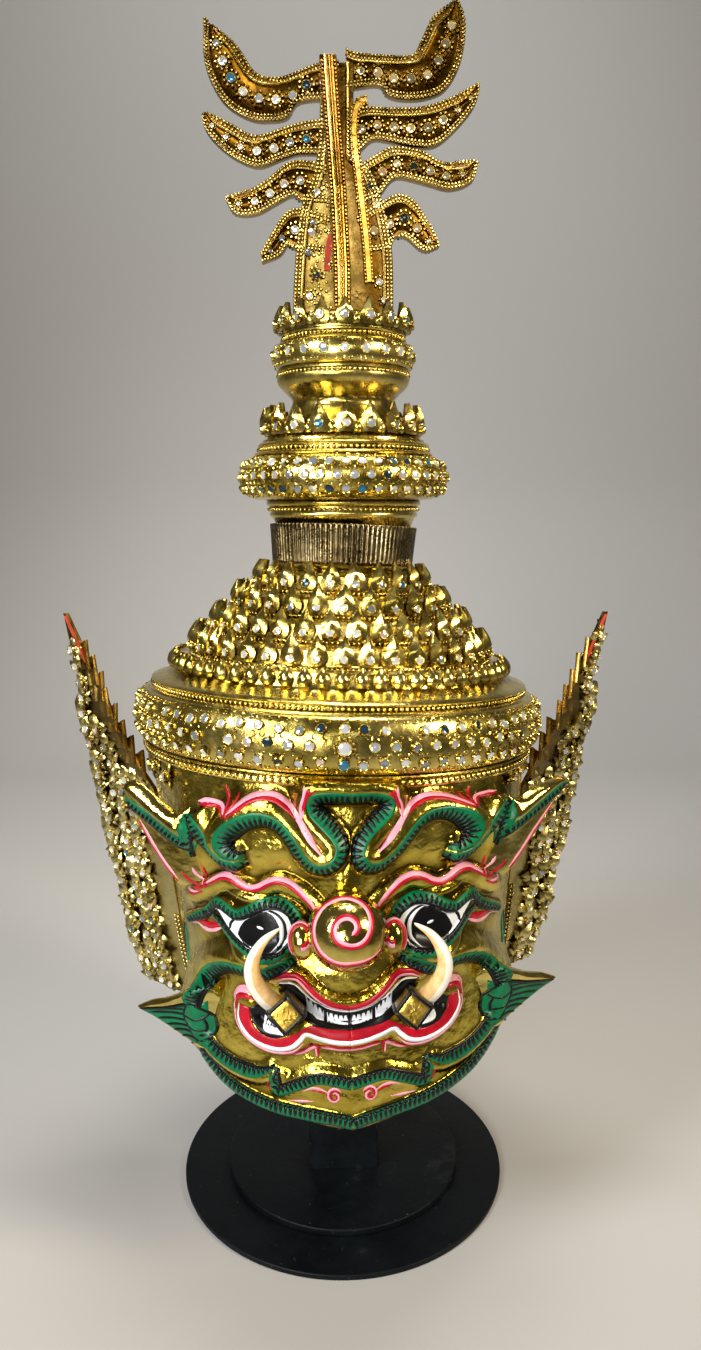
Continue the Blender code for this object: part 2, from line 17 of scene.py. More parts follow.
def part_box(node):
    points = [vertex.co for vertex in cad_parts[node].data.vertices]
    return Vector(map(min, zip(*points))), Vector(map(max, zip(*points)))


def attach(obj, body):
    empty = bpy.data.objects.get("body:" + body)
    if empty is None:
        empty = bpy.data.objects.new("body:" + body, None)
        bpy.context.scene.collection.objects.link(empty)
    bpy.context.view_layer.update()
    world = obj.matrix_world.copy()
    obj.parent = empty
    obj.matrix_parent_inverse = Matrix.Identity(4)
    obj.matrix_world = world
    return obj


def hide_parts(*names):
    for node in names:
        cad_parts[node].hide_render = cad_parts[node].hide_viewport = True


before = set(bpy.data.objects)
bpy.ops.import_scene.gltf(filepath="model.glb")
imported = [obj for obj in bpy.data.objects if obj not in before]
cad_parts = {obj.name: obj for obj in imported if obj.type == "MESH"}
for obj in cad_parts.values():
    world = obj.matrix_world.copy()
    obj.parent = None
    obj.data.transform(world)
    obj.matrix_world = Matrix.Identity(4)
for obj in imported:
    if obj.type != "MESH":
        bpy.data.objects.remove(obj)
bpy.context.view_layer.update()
MM = 0.001
dice = np.random.default_rng(7)

# %% [markdown]
# The camera
#
# The photograph is taken from close by, a little above the nose and a little to one side. The
# place, the pitch and the lens come from the ellipse of the stand's foot and the rings of the
# crown, so the camera is set from those numbers and not by eye.

# %% The camera
CAMERA_DISTANCE = 0.57
CAMERA_HEIGHT = 0.4275
CAMERA_PITCH = radians(9.96)
CAMERA_SIDE = radians(1.2)
CAMERA_TURN = radians(1.7)
FOCAL_PIXELS = 950
PICTURE_HEIGHT = 1350

camera = bpy.data.objects.new("camera", bpy.data.cameras.new("camera"))
camera.data.sensor_width = 36.0
camera.data.lens = 36.0 * FOCAL_PIXELS / PICTURE_HEIGHT
ahead = Vector((sin(CAMERA_TURN) * cos(CAMERA_PITCH), cos(CAMERA_TURN) * cos(CAMERA_PITCH),
    -sin(CAMERA_PITCH)))
rightwards = Vector((cos(CAMERA_TURN), -sin(CAMERA_TURN), 0))
turn = Matrix((rightwards, rightwards.cross(ahead), -ahead)).transposed().to_4x4()
turn.translation = (-CAMERA_DISTANCE * sin(CAMERA_SIDE), -CAMERA_DISTANCE * cos(CAMERA_SIDE), CAMERA_HEIGHT)
camera.matrix_world = turn
bpy.context.scene.collection.objects.link(camera)
bpy.context.scene.camera = camera
print("camera at", [round(v, 3) for v in camera.matrix_world.translation])

# %% [markdown]
# Light for gold
#
# Gold leaf shows what is around it. An even white room makes it look like pale plastic, so the
# room is kept dark, and large soft panels give it bright shapes to mirror: one above on the
# left, a warmer one on the right and a low one in front. The picture's tones follow the
# standard curve, which keeps bright gold yellow where a filmic one would bleach it.

# %% Floor, backdrop and lights
FLOOR_SIZE = 2.4
FLOOR_FRONT = 1.3
WALL_DISTANCE = 0.95
BEND_RADIUS = 0.5


def plain_material(name, colour, roughness):
    """A Principled material with a plain colour."""
    made = bpy.data.materials.new(name)
    made.use_nodes = True
    shader = made.node_tree.nodes["Principled BSDF"]
    shader.inputs["Base Color"].default_value = (*colour, 1.0)
    shader.inputs["Roughness"].default_value = roughness
    return made


def sweep_backdrop():
    """A floor that bends up into a wall: a straight run, a quarter circle and a straight run."""
    bend = np.linspace(0, pi / 2, 24)
    y = np.concatenate([[-FLOOR_FRONT], WALL_DISTANCE + BEND_RADIUS * np.sin(bend),
        [WALL_DISTANCE + BEND_RADIUS]])
    z = np.concatenate([[0], BEND_RADIUS * (1 - np.cos(bend)), [FLOOR_SIZE]])
    rows = len(y)
    x = np.repeat([[-FLOOR_SIZE, FLOOR_SIZE]], rows, axis=0)
    points = np.stack([x, np.stack([y, y], 1), np.stack([z, z], 1)], -1).reshape(-1, 3)
    k = np.arange(rows - 1) * 2
    mesh = bpy.data.meshes.new("floor")
    mesh.from_pydata(points.tolist(), [], np.stack([k, k + 1, k + 3, k + 2], 1).tolist())
    mesh.shade_smooth()
    floor = bpy.data.objects.new("floor", mesh)
    floor.data.materials.append(plain_material("studio_paper", (0.50, 0.49, 0.475), 0.9))
    bpy.context.scene.collection.objects.link(floor)


def soft_panel(name, place, aim, size, power, colour, spread=180):
    """An area light of a given size that looks from a place towards an aim, spreading by some degrees."""
    lamp = bpy.data.lights.new(name, "AREA")
    lamp.shape = "RECTANGLE"
    lamp.size, lamp.size_y = size
    lamp.energy = power
    lamp.color = colour
    lamp.spread = radians(spread)
    made = bpy.data.objects.new(name, lamp)
    made.location = place
    made.rotation_euler = (Vector(aim) - Vector(place)).to_track_quat("-Z", "Y").to_euler()
    bpy.context.scene.collection.objects.link(made)


sweep_backdrop()
HEAD_MIDDLE = (0, 0, 0.30)
CROWN_MIDDLE = (0, 0, 0.42)
soft_panel("window_panel", (-0.95, -0.80, 1.10), CROWN_MIDDLE, (0.40, 0.55), 3.9, (0.97, 0.98, 1.0), 80)
soft_panel("warm_panel", (0.95, -0.55, 0.95), CROWN_MIDDLE, (0.28, 0.45), 2.9, (1.0, 0.86, 0.64), 80)
soft_panel("low_panel", (-0.62, -1.35, 0.52), HEAD_MIDDLE, (0.80, 0.45), 2.3, (1.0, 0.97, 0.92), 60)
soft_panel("finial_panel", (0.10, -1.5, 0.98), (0, 0, 0.64), (0.7, 0.30), 0.14, (1.0, 0.95, 0.84), 24)
soft_panel("top_panel", (0.1, 0.10, 1.60), (0, 0.05, 0.3), (0.5, 0.4), 2.9, (1.0, 0.97, 0.92), 120)
soft_panel("wall_panel", (0.0, 0.35, 2.1), (0, 1.45, 0.55), (1.2, 0.3), 9.5, (1.0, 0.99, 0.97), 120)
world = bpy.data.worlds.new("room")
world.use_nodes = True
world.node_tree.nodes["Background"].inputs["Color"].default_value = (0.30, 0.27, 0.20, 1.0)
world.node_tree.nodes["Background"].inputs["Strength"].default_value = 0.28
bpy.context.scene.world = world
bpy.context.scene.view_settings.view_transform = "Standard"

# %% [markdown]
# How the head hangs
#
# The mask hangs a little askew: the face rolls one way, the crown a little the other way, and
# both lean back. All the pieces of the head are worked out upright and then posed with the
# same formula as the solids, so they stay on the solid's place.

# %% The pose of the head
HEAD_LEAN = radians(3.0)
HEAD_ROLL = radians(1.6)
HANG_HEIGHT = 0.200
CROWN_ROLL = radians(-1.8)
CROWN_ROLL_HEIGHT = 0.304
CROWN_OFFSET = -0.0025
CROWN_BOTTOM = 0.2835
FACE_TOP = 0.266
COLLAR_TOP = 0.4171
FIT_GAP = 0.0003


def smooth(x):
    """Ease from 0 to 1: three x squared less two x cubed."""
    x = np.clip(x, 0.0, 1.0)
    return x * x * (3.0 - 2.0 * x)


def rolled(points, angle, height, offset):
    """Points turned about the Y direction at a height on the axis, and moved sideways."""
    z = points[..., 2] - height
    x = points[..., 0] * np.cos(angle) - z * np.sin(angle) + offset
    return np.stack([x, points[..., 1], points[..., 0] * np.sin(angle) + z * np.cos(angle) + height], -1)


def leaned(points):
    """Points turned back about X at the height where the head hangs."""
    x, y, z = points[..., 0], points[..., 1], points[..., 2] - HANG_HEIGHT
    c, s = np.cos(HEAD_LEAN), np.sin(HEAD_LEAN)
    return np.stack([x, y * c + z * s, z * c - y * s + HANG_HEIGHT], -1)


def pose_head(points, whole=False):
    """The face's roll and the crown's roll, mixed between their heights, and then the lean."""
    p = np.asarray(points, float)
    fade = 1 - smooth((p[..., 2] - FACE_TOP) / (CROWN_BOTTOM - FACE_TOP))
    fade = np.ones_like(fade) if whole else fade
    face = rolled(p, HEAD_ROLL, HANG_HEIGHT, 0.0)
    crown = rolled(p, CROWN_ROLL, CROWN_ROLL_HEIGHT, CROWN_OFFSET)
    return leaned(crown + (face - crown) * fade[..., None])


def posed_frames(places, frames, whole=False):
    """Turn a set of frames (each a 3 by 3 matrix of columns) with the head at their places."""
    step = 1e-4
    base = pose_head(places, whole)
    columns = [(pose_head(places + step * frames[..., k], whole) - base) / step for k in range(3)]
    return np.stack(columns, -1)


spire_shift = pose_head((0, 0, COLLAR_TOP + FIT_GAP))
print("the collar's top is", spire_shift.round(4), "once posed")

# %% [markdown]
# Meshes from arrays
#
# Every piece below ends as an array of points and arrays of faces. One helper puts them into a
# mesh, gives it its finishes, and sets it riding on the part's body. Another copies a small
# shape, such as a bead, to many places at once, by a matrix product.

# %% Helpers for meshes
made_pieces = {}


def make_piece(name, node, form, finishes, which=None, sharp=40, colours=None):
    """An object for a node from a form: points (n, 3) and face arrays (m, corners), placed in its mesh."""
    points, faces = form
    mesh = bpy.data.meshes.new(name)
    corners = np.concatenate([f.ravel() for f in faces]).astype(np.int32)
    sizes = np.concatenate([np.full(len(f), f.shape[1]) for f in faces])
    starts = np.concatenate([[0], np.cumsum(sizes)[:-1]]).astype(np.int32)
    mesh.vertices.add(len(points))
    mesh.vertices.foreach_set("co", np.asarray(points, np.float32).ravel())
    mesh.loops.add(len(corners))
    mesh.loops.foreach_set("vertex_index", corners)
    mesh.polygons.add(len(starts))
    mesh.polygons.foreach_set("loop_start", starts)
    mesh.update(calc_edges=True)
    for finish in finishes:
        mesh.materials.append(finish)
    if which is not None:
        mesh.polygons.foreach_set("material_index", np.asarray(which, np.int32))
    if colours is not None:
        tint = mesh.color_attributes.new("tint", "FLOAT_COLOR", "POINT")
        rgba = np.column_stack([colours, np.ones(len(points))])
        tint.data.foreach_set("color", rgba.astype(np.float32).ravel())
    mesh.shade_smooth()
    if sharp:
        mesh.set_sharp_from_angle(angle=radians(sharp))
    made = bpy.data.objects.new(name, mesh)
    bpy.context.scene.collection.objects.link(made)
    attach(made, "root")
    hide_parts(node)
    made_pieces[name] = int((sizes - 2).sum())
    print(f"{name}: {len(points)} points, {made_pieces[name]} triangles")


def grid_quads(rows, columns, loop_rows):
    """Quads over rings of points; where the rows loop too, the last ring joins the first."""
    i, j = np.indices((rows - (not loop_rows), columns)).reshape(2, -1)
    down, along = (i + 1) % rows, (j + 1) % columns
    return np.stack([i * columns + j, i * columns + along, down * columns + along, down * columns + j], 1)


def outward(points, faces):
    """The same faces, turned so that the volume they close is positive."""
    volume = 0.0
    for f in faces:
        a = points[f[:, 0]]
        for k in range(1, f.shape[1] - 1):
            volume += np.einsum("ij,ij->", a, np.cross(points[f[:, k]], points[f[:, k + 1]]))
    return faces if volume > 0 else [f[:, ::-1] for f in faces]


def closed_form(rings, lids=True):
    """A form from rings (rows, columns, 3): a lid at each end, or the last ring joined to the first."""
    rows, columns = rings.shape[:2]
    points = rings.reshape(-1, 3)
    faces = [grid_quads(rows, columns, not lids)]
    if lids:
        faces.append(np.stack([np.arange(columns)[::-1], (rows - 1) * columns + np.arange(columns)]))
    return points, outward(points, faces)


def scatter(shape, frames, places, sizes):
    """Copies of a shape: each point is its frame times the shape's point, plus its place."""
    points, faces = shape
    moved = np.einsum("nij,pj->npi", frames * sizes[:, None, None], points) + places[:, None, :]
    steps = np.arange(len(places))[:, None, None] * len(points)
    return moved.reshape(-1, 3), [(f[None] + steps).reshape(-1, f.shape[1]) for f in faces]


def joined(parts):
    """Several forms put one after the other as one form."""
    points, faces, start = [], [], 0
    for p, fs in parts:
        points.append(p)
        faces += [f + start for f in fs]
        start += len(p)
    return np.vstack(points), faces


def posed(form):
    """A form whose points are posed with the head."""
    return pose_head(form[0]), form[1]


# %% Helpers for paths
def spline(points, steps=6):
    """Points along a Catmull-Rom curve: a cubic on each run, with slopes from its neighbours."""
    p = np.asarray(points, float)
    p = np.vstack([2 * p[0] - p[1], p, 2 * p[-1] - p[-2]])
    t = np.linspace(0, 1, steps, endpoint=False)[:, None]
    runs = []
    for a, b, c, d in zip(p[:-3], p[1:-2], p[2:-1], p[3:]):
        curve = (2 * a - 5 * b + 4 * c - d) * t ** 2 + (3 * b - a - 3 * c + d) * t ** 3
        runs.append(0.5 * (2 * b + (c - a) * t + curve))
    return np.vstack(runs + [p[-2:-1]])


def way_along(path):
    """The length of the way to each point of a path."""
    return np.concatenate([[0], np.cumsum(np.linalg.norm(np.diff(path, axis=0), axis=1))])


def at_lengths(path, marks):
    """The points of a path where the way along it reaches some lengths."""
    length = way_along(path)
    return np.column_stack([np.interp(marks, length, column) for column in path.T])


def even_path(points, spacing):
    """A smooth path through the points, at even steps of about the spacing."""
    fine = spline(points, 16)
    whole = way_along(fine)[-1]
    return at_lengths(fine, np.linspace(0, whole, max(int(round(whole / spacing)), 2) + 1))


def resampled(points, count):
    """A smooth path through the points, at even shares of its length."""
    fine = spline(points, 12)
    return at_lengths(fine, np.linspace(0, way_along(fine)[-1], count))


def read_table(place, table):
    """A value at a place, on straight lines between the rows (place, value) of a table."""
    return np.interp(place, *np.array(table).T)


# %% [markdown]
# Finishes
#
# Gold leaf is never one colour: it is laid in small sheets, it wrinkles, and it wears to an
# orange or greenish tone. Two noises mix three golds, a third sets how polished each place is,
# and fine wrinkles go into a bump. Paints are glossy enamels with a faint unevenness.

# %% Materials
class Finish:
    """A new material, and short ways to add nodes to it. Its noises lie on object coordinates."""

    def __init__(self, name, values):
        self.material = bpy.data.materials.new(name)
        self.material.use_nodes = True
        self.tree = self.material.node_tree
        self.shader = self.tree.nodes["Principled BSDF"]
        for key, value in values.items():
            self.shader.inputs[key].default_value = value

    def node(self, kind, values={}, links={}, **settings):
        """A node with its settings, the values of its inputs and the outputs linked into it."""
        made = self.tree.nodes.new("ShaderNode" + kind)
        for key, value in settings.items():
            setattr(made, key, value)
        for key, value in values.items():
            made.inputs[key].default_value = value
        for key, output in links.items():
            self.tree.links.new(output, made.inputs[key])
        return made.outputs

    def link(self, output, name):
        """Link an output into the shader."""
        self.tree.links.new(output, self.shader.inputs[name])

    def noise(self, scale, detail=3.0, rough=0.55):
        """A noise; its scale counts features in a metre."""
        values = {"Scale": scale, "Detail": detail, "Roughness": rough}
        return self.node("TexNoise", values, {"Vector": self.node("TexCoord")["Object"]})["Fac"]

    def ramp(self, value, stops):
        """A colour ramp over a value: stops are (place, colour)."""
        outputs = self.node("ValToRGB", links={"Fac": value})
        band = outputs["Color"].node.color_ramp
        while len(band.elements) < len(stops):
            band.elements.new(0.5)
        for element, (place, colour) in zip(band.elements, stops):
            element.position = place
            element.color = (*colour, 1.0)
        return outputs["Color"]

    def spread(self, value, low, high):
        """A value from 0.3 to 0.7, spread over another range."""
        values = {"From Min": 0.3, "From Max": 0.7, "To Min": low, "To Max": high}
        return self.node("MapRange", values, {"Value": value})["Result"]

    def mix(self, kind, first, second):
        """Two colours multiplied or added."""
        links = {"A": first, "B": second}
        return self.node("Mix", {"Factor": 1.0}, links, data_type="RGBA", blend_type=kind)["Result"]

    def tint(self):
        """The tint that each point carries: painted shade on gold, each mirror's own colour on glass."""
        return self.node("Attribute", attribute_name="tint")["Color"]

    def bump(self, *layers):
        """Bumps one on another: each layer is a height, its depth in metres and its strength."""
        below = {}
        for height, depth, strength in layers:
            values = {"Distance": depth, "Strength": strength}
            below = {"Normal": self.node("Bump", values, {"Height": height, **below})["Normal"]}
        self.link(below["Normal"], "Normal")


GOLD_TONES = [(0.28, (0.26, 0.19, 0.03)), (0.43, (0.58, 0.45, 0.10)), (0.60, (0.80, 0.65, 0.20)),
    (0.80, (0.66, 0.42, 0.08))]
WORKED_TONES = [(0.30, (0.40, 0.29, 0.06)), (0.46, (0.76, 0.58, 0.17)), (0.62, (0.90, 0.72, 0.28)),
    (0.80, (0.78, 0.48, 0.10))]
FACE_TONES = [(0.28, (0.22, 0.155, 0.012)), (0.43, (0.50, 0.38, 0.045)), (0.60, (0.74, 0.58, 0.10)),
    (0.80, (0.60, 0.37, 0.04))]
LEATHER_TONES = [(0.30, (0.30, 0.23, 0.06)), (0.46, (0.58, 0.48, 0.17)), (0.62, (0.72, 0.62, 0.28)),
    (0.80, (0.56, 0.38, 0.10))]
# The collar's gold: an aged tone, made far darker still as painted shade.
AGED_SHADED_TONES = [(0.30, (0.06, 0.042, 0.018)), (0.50, (0.15, 0.11, 0.05)), (0.68, (0.32, 0.26, 0.14)),
    (0.85, (0.15, 0.085, 0.03))]
CAP_TONES = [(0.30, (0.34, 0.20, 0.03)), (0.48, (0.58, 0.37, 0.06)), (0.64, (0.78, 0.54, 0.11)),
    (0.82, (0.62, 0.34, 0.06))]
# Painted shade: gold pieces carry a per-point tint that darkens them towards this brown in grooves, creases
# and at the roots of small shapes.
GOLD_IN_SHADE = np.array((0.16, 0.095, 0.025))


def toned(light):
    """Tints for gold that paint shade: white where light is 1, down to a shaded brown where it is 0."""
    return GOLD_IN_SHADE + (1 - GOLD_IN_SHADE) * np.clip(light, 0, 1)[..., None]


def gold_leaf(name, tones=GOLD_TONES, wrinkle=0.5, polish=(0.10, 0.30), grain=0.25, tinted=False):
    """Gold leaf: tones by noise, uneven polish, broad wrinkles and a fine grain; it may carry tints of
    painted shade.
    """
    leaf = Finish(name, {"Metallic": 1.0})
    tone = leaf.ramp(leaf.noise(34, 4.0, 0.6), tones)
    leaf.link(leaf.mix("MULTIPLY", tone, leaf.tint()) if tinted else tone, "Base Color")
    leaf.link(leaf.spread(leaf.noise(110), *polish), "Roughness")
    leaf.bump((leaf.noise(150, 2.5, 0.5), 0.0022, wrinkle), (leaf.noise(850, 2.0, 0.6), 0.0005, grain))
    return leaf.material


def enamel(name, light, dark, roughness=0.28, coat=0.10):
    """Brushed enamel paint: two close tones along brush marks, a thin gloss coat."""
    coat_values = {"Coat Weight": coat, "Coat Roughness": 0.12}
    coloured = Finish(name, {"Roughness": roughness, "Specular IOR Level": 0.28, **coat_values})
    coloured.link(coloured.ramp(coloured.noise(140, 4.0, 0.65), [(0.32, dark), (0.68, light)]),
        "Base Color")
    coloured.bump((coloured.noise(700, 2.0), 0.0003, 0.25))
    return coloured.material


def ivory(name, tones=((0.76, 0.66, 0.48), (0.84, 0.79, 0.68), (0.88, 0.86, 0.80))):
    """Lacquer with faint streaks between three tones."""
    depth_values = {"Subsurface Weight": 0.08, "Subsurface Scale": 0.004}
    lacquer = Finish(name, {"Roughness": 0.24, "Coat Weight": 0.4, **depth_values})
    lacquer.link(lacquer.ramp(lacquer.noise(160), list(zip((0.3, 0.5, 0.7), tones))), "Base Color")
    lacquer.bump((lacquer.noise(500, 2.0), 0.0004, 0.2))
    return lacquer.material


def mirror_glass(name):
    """Silvered glass: a sharp metal reflection, tinted piece by piece."""
    silvered = Finish(name, {"Metallic": 0.60, "Roughness": 0.06})
    silvered.link(silvered.tint(), "Base Color")
    return silvered.material


def stand_paint(name):
    """Matt black paint on wood, with pale dust in patches and fine specks."""
    matt = Finish(name, {"Specular IOR Level": 0.16})
    dust = matt.noise(22, 6.0, 0.7)
    greys = [(0.35, (0.002, 0.003, 0.004)), (0.62, (0.004, 0.006, 0.008)), (0.82, (0.030, 0.034, 0.038))]
    specks = [(0.70, (0.0, 0.0, 0.0)), (0.80, (0.06, 0.06, 0.06))]
    matt.link(matt.mix("ADD", matt.ramp(dust, greys), matt.ramp(matt.noise(260, 2.0), specks)),
        "Base Color")
    matt.link(matt.spread(dust, 0.36, 0.62), "Roughness")
    matt.bump((matt.noise(420), 0.0004, 0.3))
    return matt.material


gold = gold_leaf("gold_leaf", FACE_TONES, tinted=True)
gold_smooth = gold_leaf("gold_polished", wrinkle=0.25, polish=(0.08, 0.20), grain=0.12)
gold_crown = gold_leaf("gold_crown", wrinkle=0.14, polish=(0.14, 0.32), grain=0.10, tinted=True)
gold_worked = gold_leaf("gold_worked", WORKED_TONES, wrinkle=0.20, polish=(0.16, 0.36), grain=0.12,
    tinted=True)
gold_leather = gold_leaf("gold_leather", LEATHER_TONES, wrinkle=0.20, polish=(0.18, 0.38), grain=0.15,
    tinted=True)
green = enamel("green_enamel", (0.002, 0.170, 0.062), (0.001, 0.090, 0.036), roughness=0.34, coat=0.06)
black = enamel("black_line", (0.004, 0.004, 0.005), (0.002, 0.002, 0.003), roughness=0.30, coat=0.04)
red = enamel("red_enamel", (0.50, 0.006, 0.022), (0.32, 0.003, 0.012))
pink = enamel("pink_enamel", (0.88, 0.40, 0.50), (0.74, 0.28, 0.38))
white = enamel("white_enamel", (0.93, 0.95, 0.99), (0.78, 0.84, 0.96))
cream = ivory("ivory_lacquer")
glass = mirror_glass("mirror_glass")
matt_black = stand_paint("stand_black")
red_back = enamel("red_back", (0.30, 0.020, 0.014), (0.16, 0.010, 0.008), roughness=0.6, coat=0.0)
worn_red = enamel("worn_red", (0.50, 0.045, 0.015), (0.22, 0.020, 0.010), roughness=0.5, coat=0.0)
shaded_tan_ivory = ivory("shaded_tan_ivory", ((0.62, 0.36, 0.12), (0.80, 0.53, 0.22), (0.88, 0.66, 0.36)))
gold_aged_shaded = gold_leaf("gold_aged_shaded", AGED_SHADED_TONES, wrinkle=0.3, polish=(0.18, 0.40), grain=0.4)
gold_brown = gold_leaf("gold_brown", CAP_TONES, wrinkle=0.3, polish=(0.22, 0.40), grain=0.3)
print(len(bpy.data.materials), "materials")

# %% [markdown]
# The stand
#
# Two thin wooden discs and a square post, sprayed matt black. The discs are turned profiles
# with softly rounded edges, and the post is a bevelled bar. Their sizes are read from the
# solids, so they can't drift away from them.

# %% Stand
def turned_rings(profile, columns, wave=None):
    """A surface of revolution: each (radius, height) in mm goes round Z, and wave adds to the radius."""
    angles = np.arange(columns) * 2 * pi / columns
    profile = np.array(profile, float) * MM
    radius = np.repeat(profile[:, :1], columns, axis=1)
    if wave is not None:
        radius = radius + wave(angles[None, :], np.arange(len(profile))[:, None])
    height = np.repeat(profile[:, 1:], columns, axis=1)
    return np.stack([radius * np.sin(angles), -radius * np.cos(angles), height], -1)


def make_disc(node):
    """A disc from the node's box: a profile of two quarter rounds, with a flat lid above and below."""
    low, high = (np.array(corner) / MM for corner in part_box(node))
    radius = (high[0] - low[0]) / 2
    bend = np.linspace(0, pi / 2, 6)
    edge = radius - EDGE_ROUND
    lower = np.stack([edge + EDGE_ROUND * np.sin(bend), low[2] + EDGE_ROUND * (1 - np.cos(bend))], 1)
    upper = np.stack([edge + EDGE_ROUND * np.cos(bend), high[2] - EDGE_ROUND * (1 - np.sin(bend))], 1)
    profile = np.vstack([[(radius / 2, low[2])], lower, upper, [(radius / 2, high[2])]])
    make_piece(node + "_turned", node, closed_form(turned_rings(profile, 160)), [matt_black])


def make_post():
    """A square bar whose upright edges are rounded: the outline is a square with quarter-round corners."""
    low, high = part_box("stand_post")
    edge = (high.x - low.x) / 2 - POST_ROUND
    bend = np.linspace(0, pi / 2, 5)
    corner = np.stack([edge + POST_ROUND * np.cos(bend), edge + POST_ROUND * np.sin(bend)], 1)
    turns = [(1, 0, 0, 1), (0, -1, 1, 0), (-1, 0, 0, -1), (0, 1, -1, 0)]
    outline = np.vstack([corner @ np.array([[a, c], [b, d]]) for a, b, c, d in turns])
    inner_top = pose_head((0.0, 0.0, CEILING))[2] - WALL
    rings = np.array([np.column_stack([outline, np.full(len(outline), z)]) for z in (low.z, inner_top)])
    make_piece("stand_post_bar", "stand_post", closed_form(rings), [matt_black])


EDGE_ROUND = 0.9
POST_ROUND = 0.0012
CEILING = 0.3680
WALL = 0.004
make_disc("stand_foot")
make_disc("stand_step")
make_post()

# %% [markdown]
# The carved face
#
# The face is modelled in paste on the paper shell. Here it is one height field: the distance
# from the middle axis, as a function of the angle round the axis and the height. Under it lie
# a plain egg and the broad jaw plate, and each part of the carving adds its own height, found
# from the distance to a path. Places on the face are (u, z): u is the distance out from the
# middle line, and the middle line itself wanders a little, as on the real mask.

# %% Paths on the face
HEAD_HEIGHTS = [0.095, 0.105, 0.130, 0.170, 0.210, 0.250, 0.285, 0.300]
HEAD_HALF_WIDTHS = [0.080, 0.084, 0.093, 0.099, 0.104, 0.110, 0.1135, 0.1135]
HEAD_FRONTS = [0.108, 0.112, 0.116, 0.118, 0.118, 0.1165, 0.1140, 0.1135]
HEAD_BACKS = [0.086, 0.089, 0.096, 0.103, 0.110, 0.1135, 0.1145, 0.1140]
RELIEF_SKIN = 0.008
JAW_FRONT = 0.1240
JAW_SIDE = 0.1150
JAW_TOP = 0.186
JAW_FULL = 0.135
JAW_SKEW = 0.0040
RIM_ANGLES = [0, 12, 20, 26, 32, 38, 43, 49, 55, 63, 75, 100, 180]
RIM_HEIGHTS = [0.105, 0.1105, 0.1122, 0.1142, 0.1180, 0.1235, 0.1280, 0.132, 0.136, 0.138, 0.132, 0.128,
    0.125]

BROW = [(-9, 279.6), (0, 279.6), (11, 279.8), (18, 278), (18.5, 273), (13, 267.5), (7.5, 262), (4.4, 256.5),
    (5.0, 250.5), (9.0, 246.2), (14.5, 244.8), (20.3, 246.8), (25.8, 252.6), (30.7, 259.4), (36.2, 265),
    (43.0, 267.8), (50.5, 267.4), (58, 264.2), (63.8, 258.4), (64.3, 252.8), (60.3, 249.2), (54, 248.4)]
FLAME = [(53, 245), (58.5, 243), (65, 243.4), (71, 246.6), (75.5, 252.4), (80, 258.6), (85.5, 265.5)]
RIDGE = [(15, 224), (20.5, 229), (28, 232.5), (35.5, 234.5), (43, 232), (50.5, 229), (57, 230), (65, 231.5),
    (72.5, 228), (81, 221), (89, 216)]
UPPER_LID = [(26.2, 202.5), (24.3, 211), (27.0, 219.4), (35, 224.8), (43.6, 224.2), (50.6, 220),
    (57, 216.8), (63, 218.6), (69, 219.8), (74.5, 215.4), (79.5, 209.4), (85.5, 205), (92.5, 199.6)]
LOWER_LID = [(28.5, 204.5), (32, 200.6), (38, 198), (45, 197.6), (52, 199.4), (58, 202.2), (63, 205.4),
    (68, 208.4), (74, 209.6), (81, 208.2)]
UPPER_LIP = [(0, 174.5), (7.3, 175.6), (14.5, 179.2), (20.2, 184), (24.8, 188), (31, 188.6), (37.5, 185.4)]
LOWER_LIP = [(0, 155.4), (8, 155.8), (15, 157.6), (22.6, 160.4), (29.6, 154.6), (38, 152.4), (46.6, 153.2),
    (53.6, 157.4), (56.4, 164), (55, 170)]
CHEEK = [(27.5, 197), (35.4, 192.5), (45.1, 187), (55, 187.2), (65, 185.8), (76, 178.5), (82.5, 169.5),
    (85, 161), (85, 152), (82.5, 145), (78, 139.5), (70.5, 136), (62, 134), (51, 134), (41.5, 138.5)]
CHIN = [(-9, 133.4), (0, 131.5), (9.5, 133.6), (18.8, 134.3), (29, 130.5), (40.4, 125.6), (41.6, 131.5),
    (40.2, 138)]
RIM_BAND = [(-9, 112.4), (0, 110.0), (9, 112.6), (24, 114.6), (41, 116.0), (55, 118.4), (69, 122.5),
    (80, 129.5), (88, 138)]
MIDDLE_HEIGHTS = [175, 210, 245, 256, 277]
MIDDLE_PLACES = [0, -0.8, 1.0, 3.0, 5.0]


def signed_distance(points, u, z, steps=6):
    """Distance in mm to a smooth path, positive on its left, and the share of the way along."""
    path = spline(np.array(points, float), steps)
    best = np.full(u.shape, 1e9)
    along = np.zeros(u.shape)
    count = len(path) - 1
    for k in range(count):
        ax, az = path[k]
        rx, rz = path[k + 1] - path[k]
        t = np.clip(((u - ax) * rx + (z - az) * rz) / (rx * rx + rz * rz), 0, 1)
        dx, dz = u - ax - t * rx, z - az - t * rz
        d = np.hypot(dx, dz)
        nearer = d < np.abs(best)
        best = np.where(nearer, np.where(rx * dz - rz * dx > 0, d, -d), best)
        along = np.where(nearer, (k + t) / count, along)
    return best, along


def ridge(points, u, z, half_width, height):
    """A rounded ridge: height times the root of one less the squared share of the half width."""
    d, along = signed_distance(points, u, z)
    return height * np.sqrt(np.clip(1 - (d / half_width) ** 2, 0, 1))


ROLL_PLACES = [-5.2, -4.2, -3.2, -2.0, 0.0, 2.6, 4.5, 6.5, 8.5, 10.5, 12.5, 15.0]
ROLL_SHARES = [0.0, 0.10, 0.34, 0.50, 0.68, 0.90, 1.00, 0.96, 0.80, 0.50, 0.20, 0.0]


def roll(points, u, z, height, puff=1.0):
    """A band that slants up to a puffy roll on the left of a path. The profile runs across the path."""
    d, along = signed_distance(points, u, z)
    d = np.where(d > 2.6, 2.6 + (d - 2.6) / puff, d)
    ends = smooth(along / 0.02) * smooth((1 - along) / 0.02 + 0.15)
    return height * np.interp(d, ROLL_PLACES, ROLL_SHARES) * ends


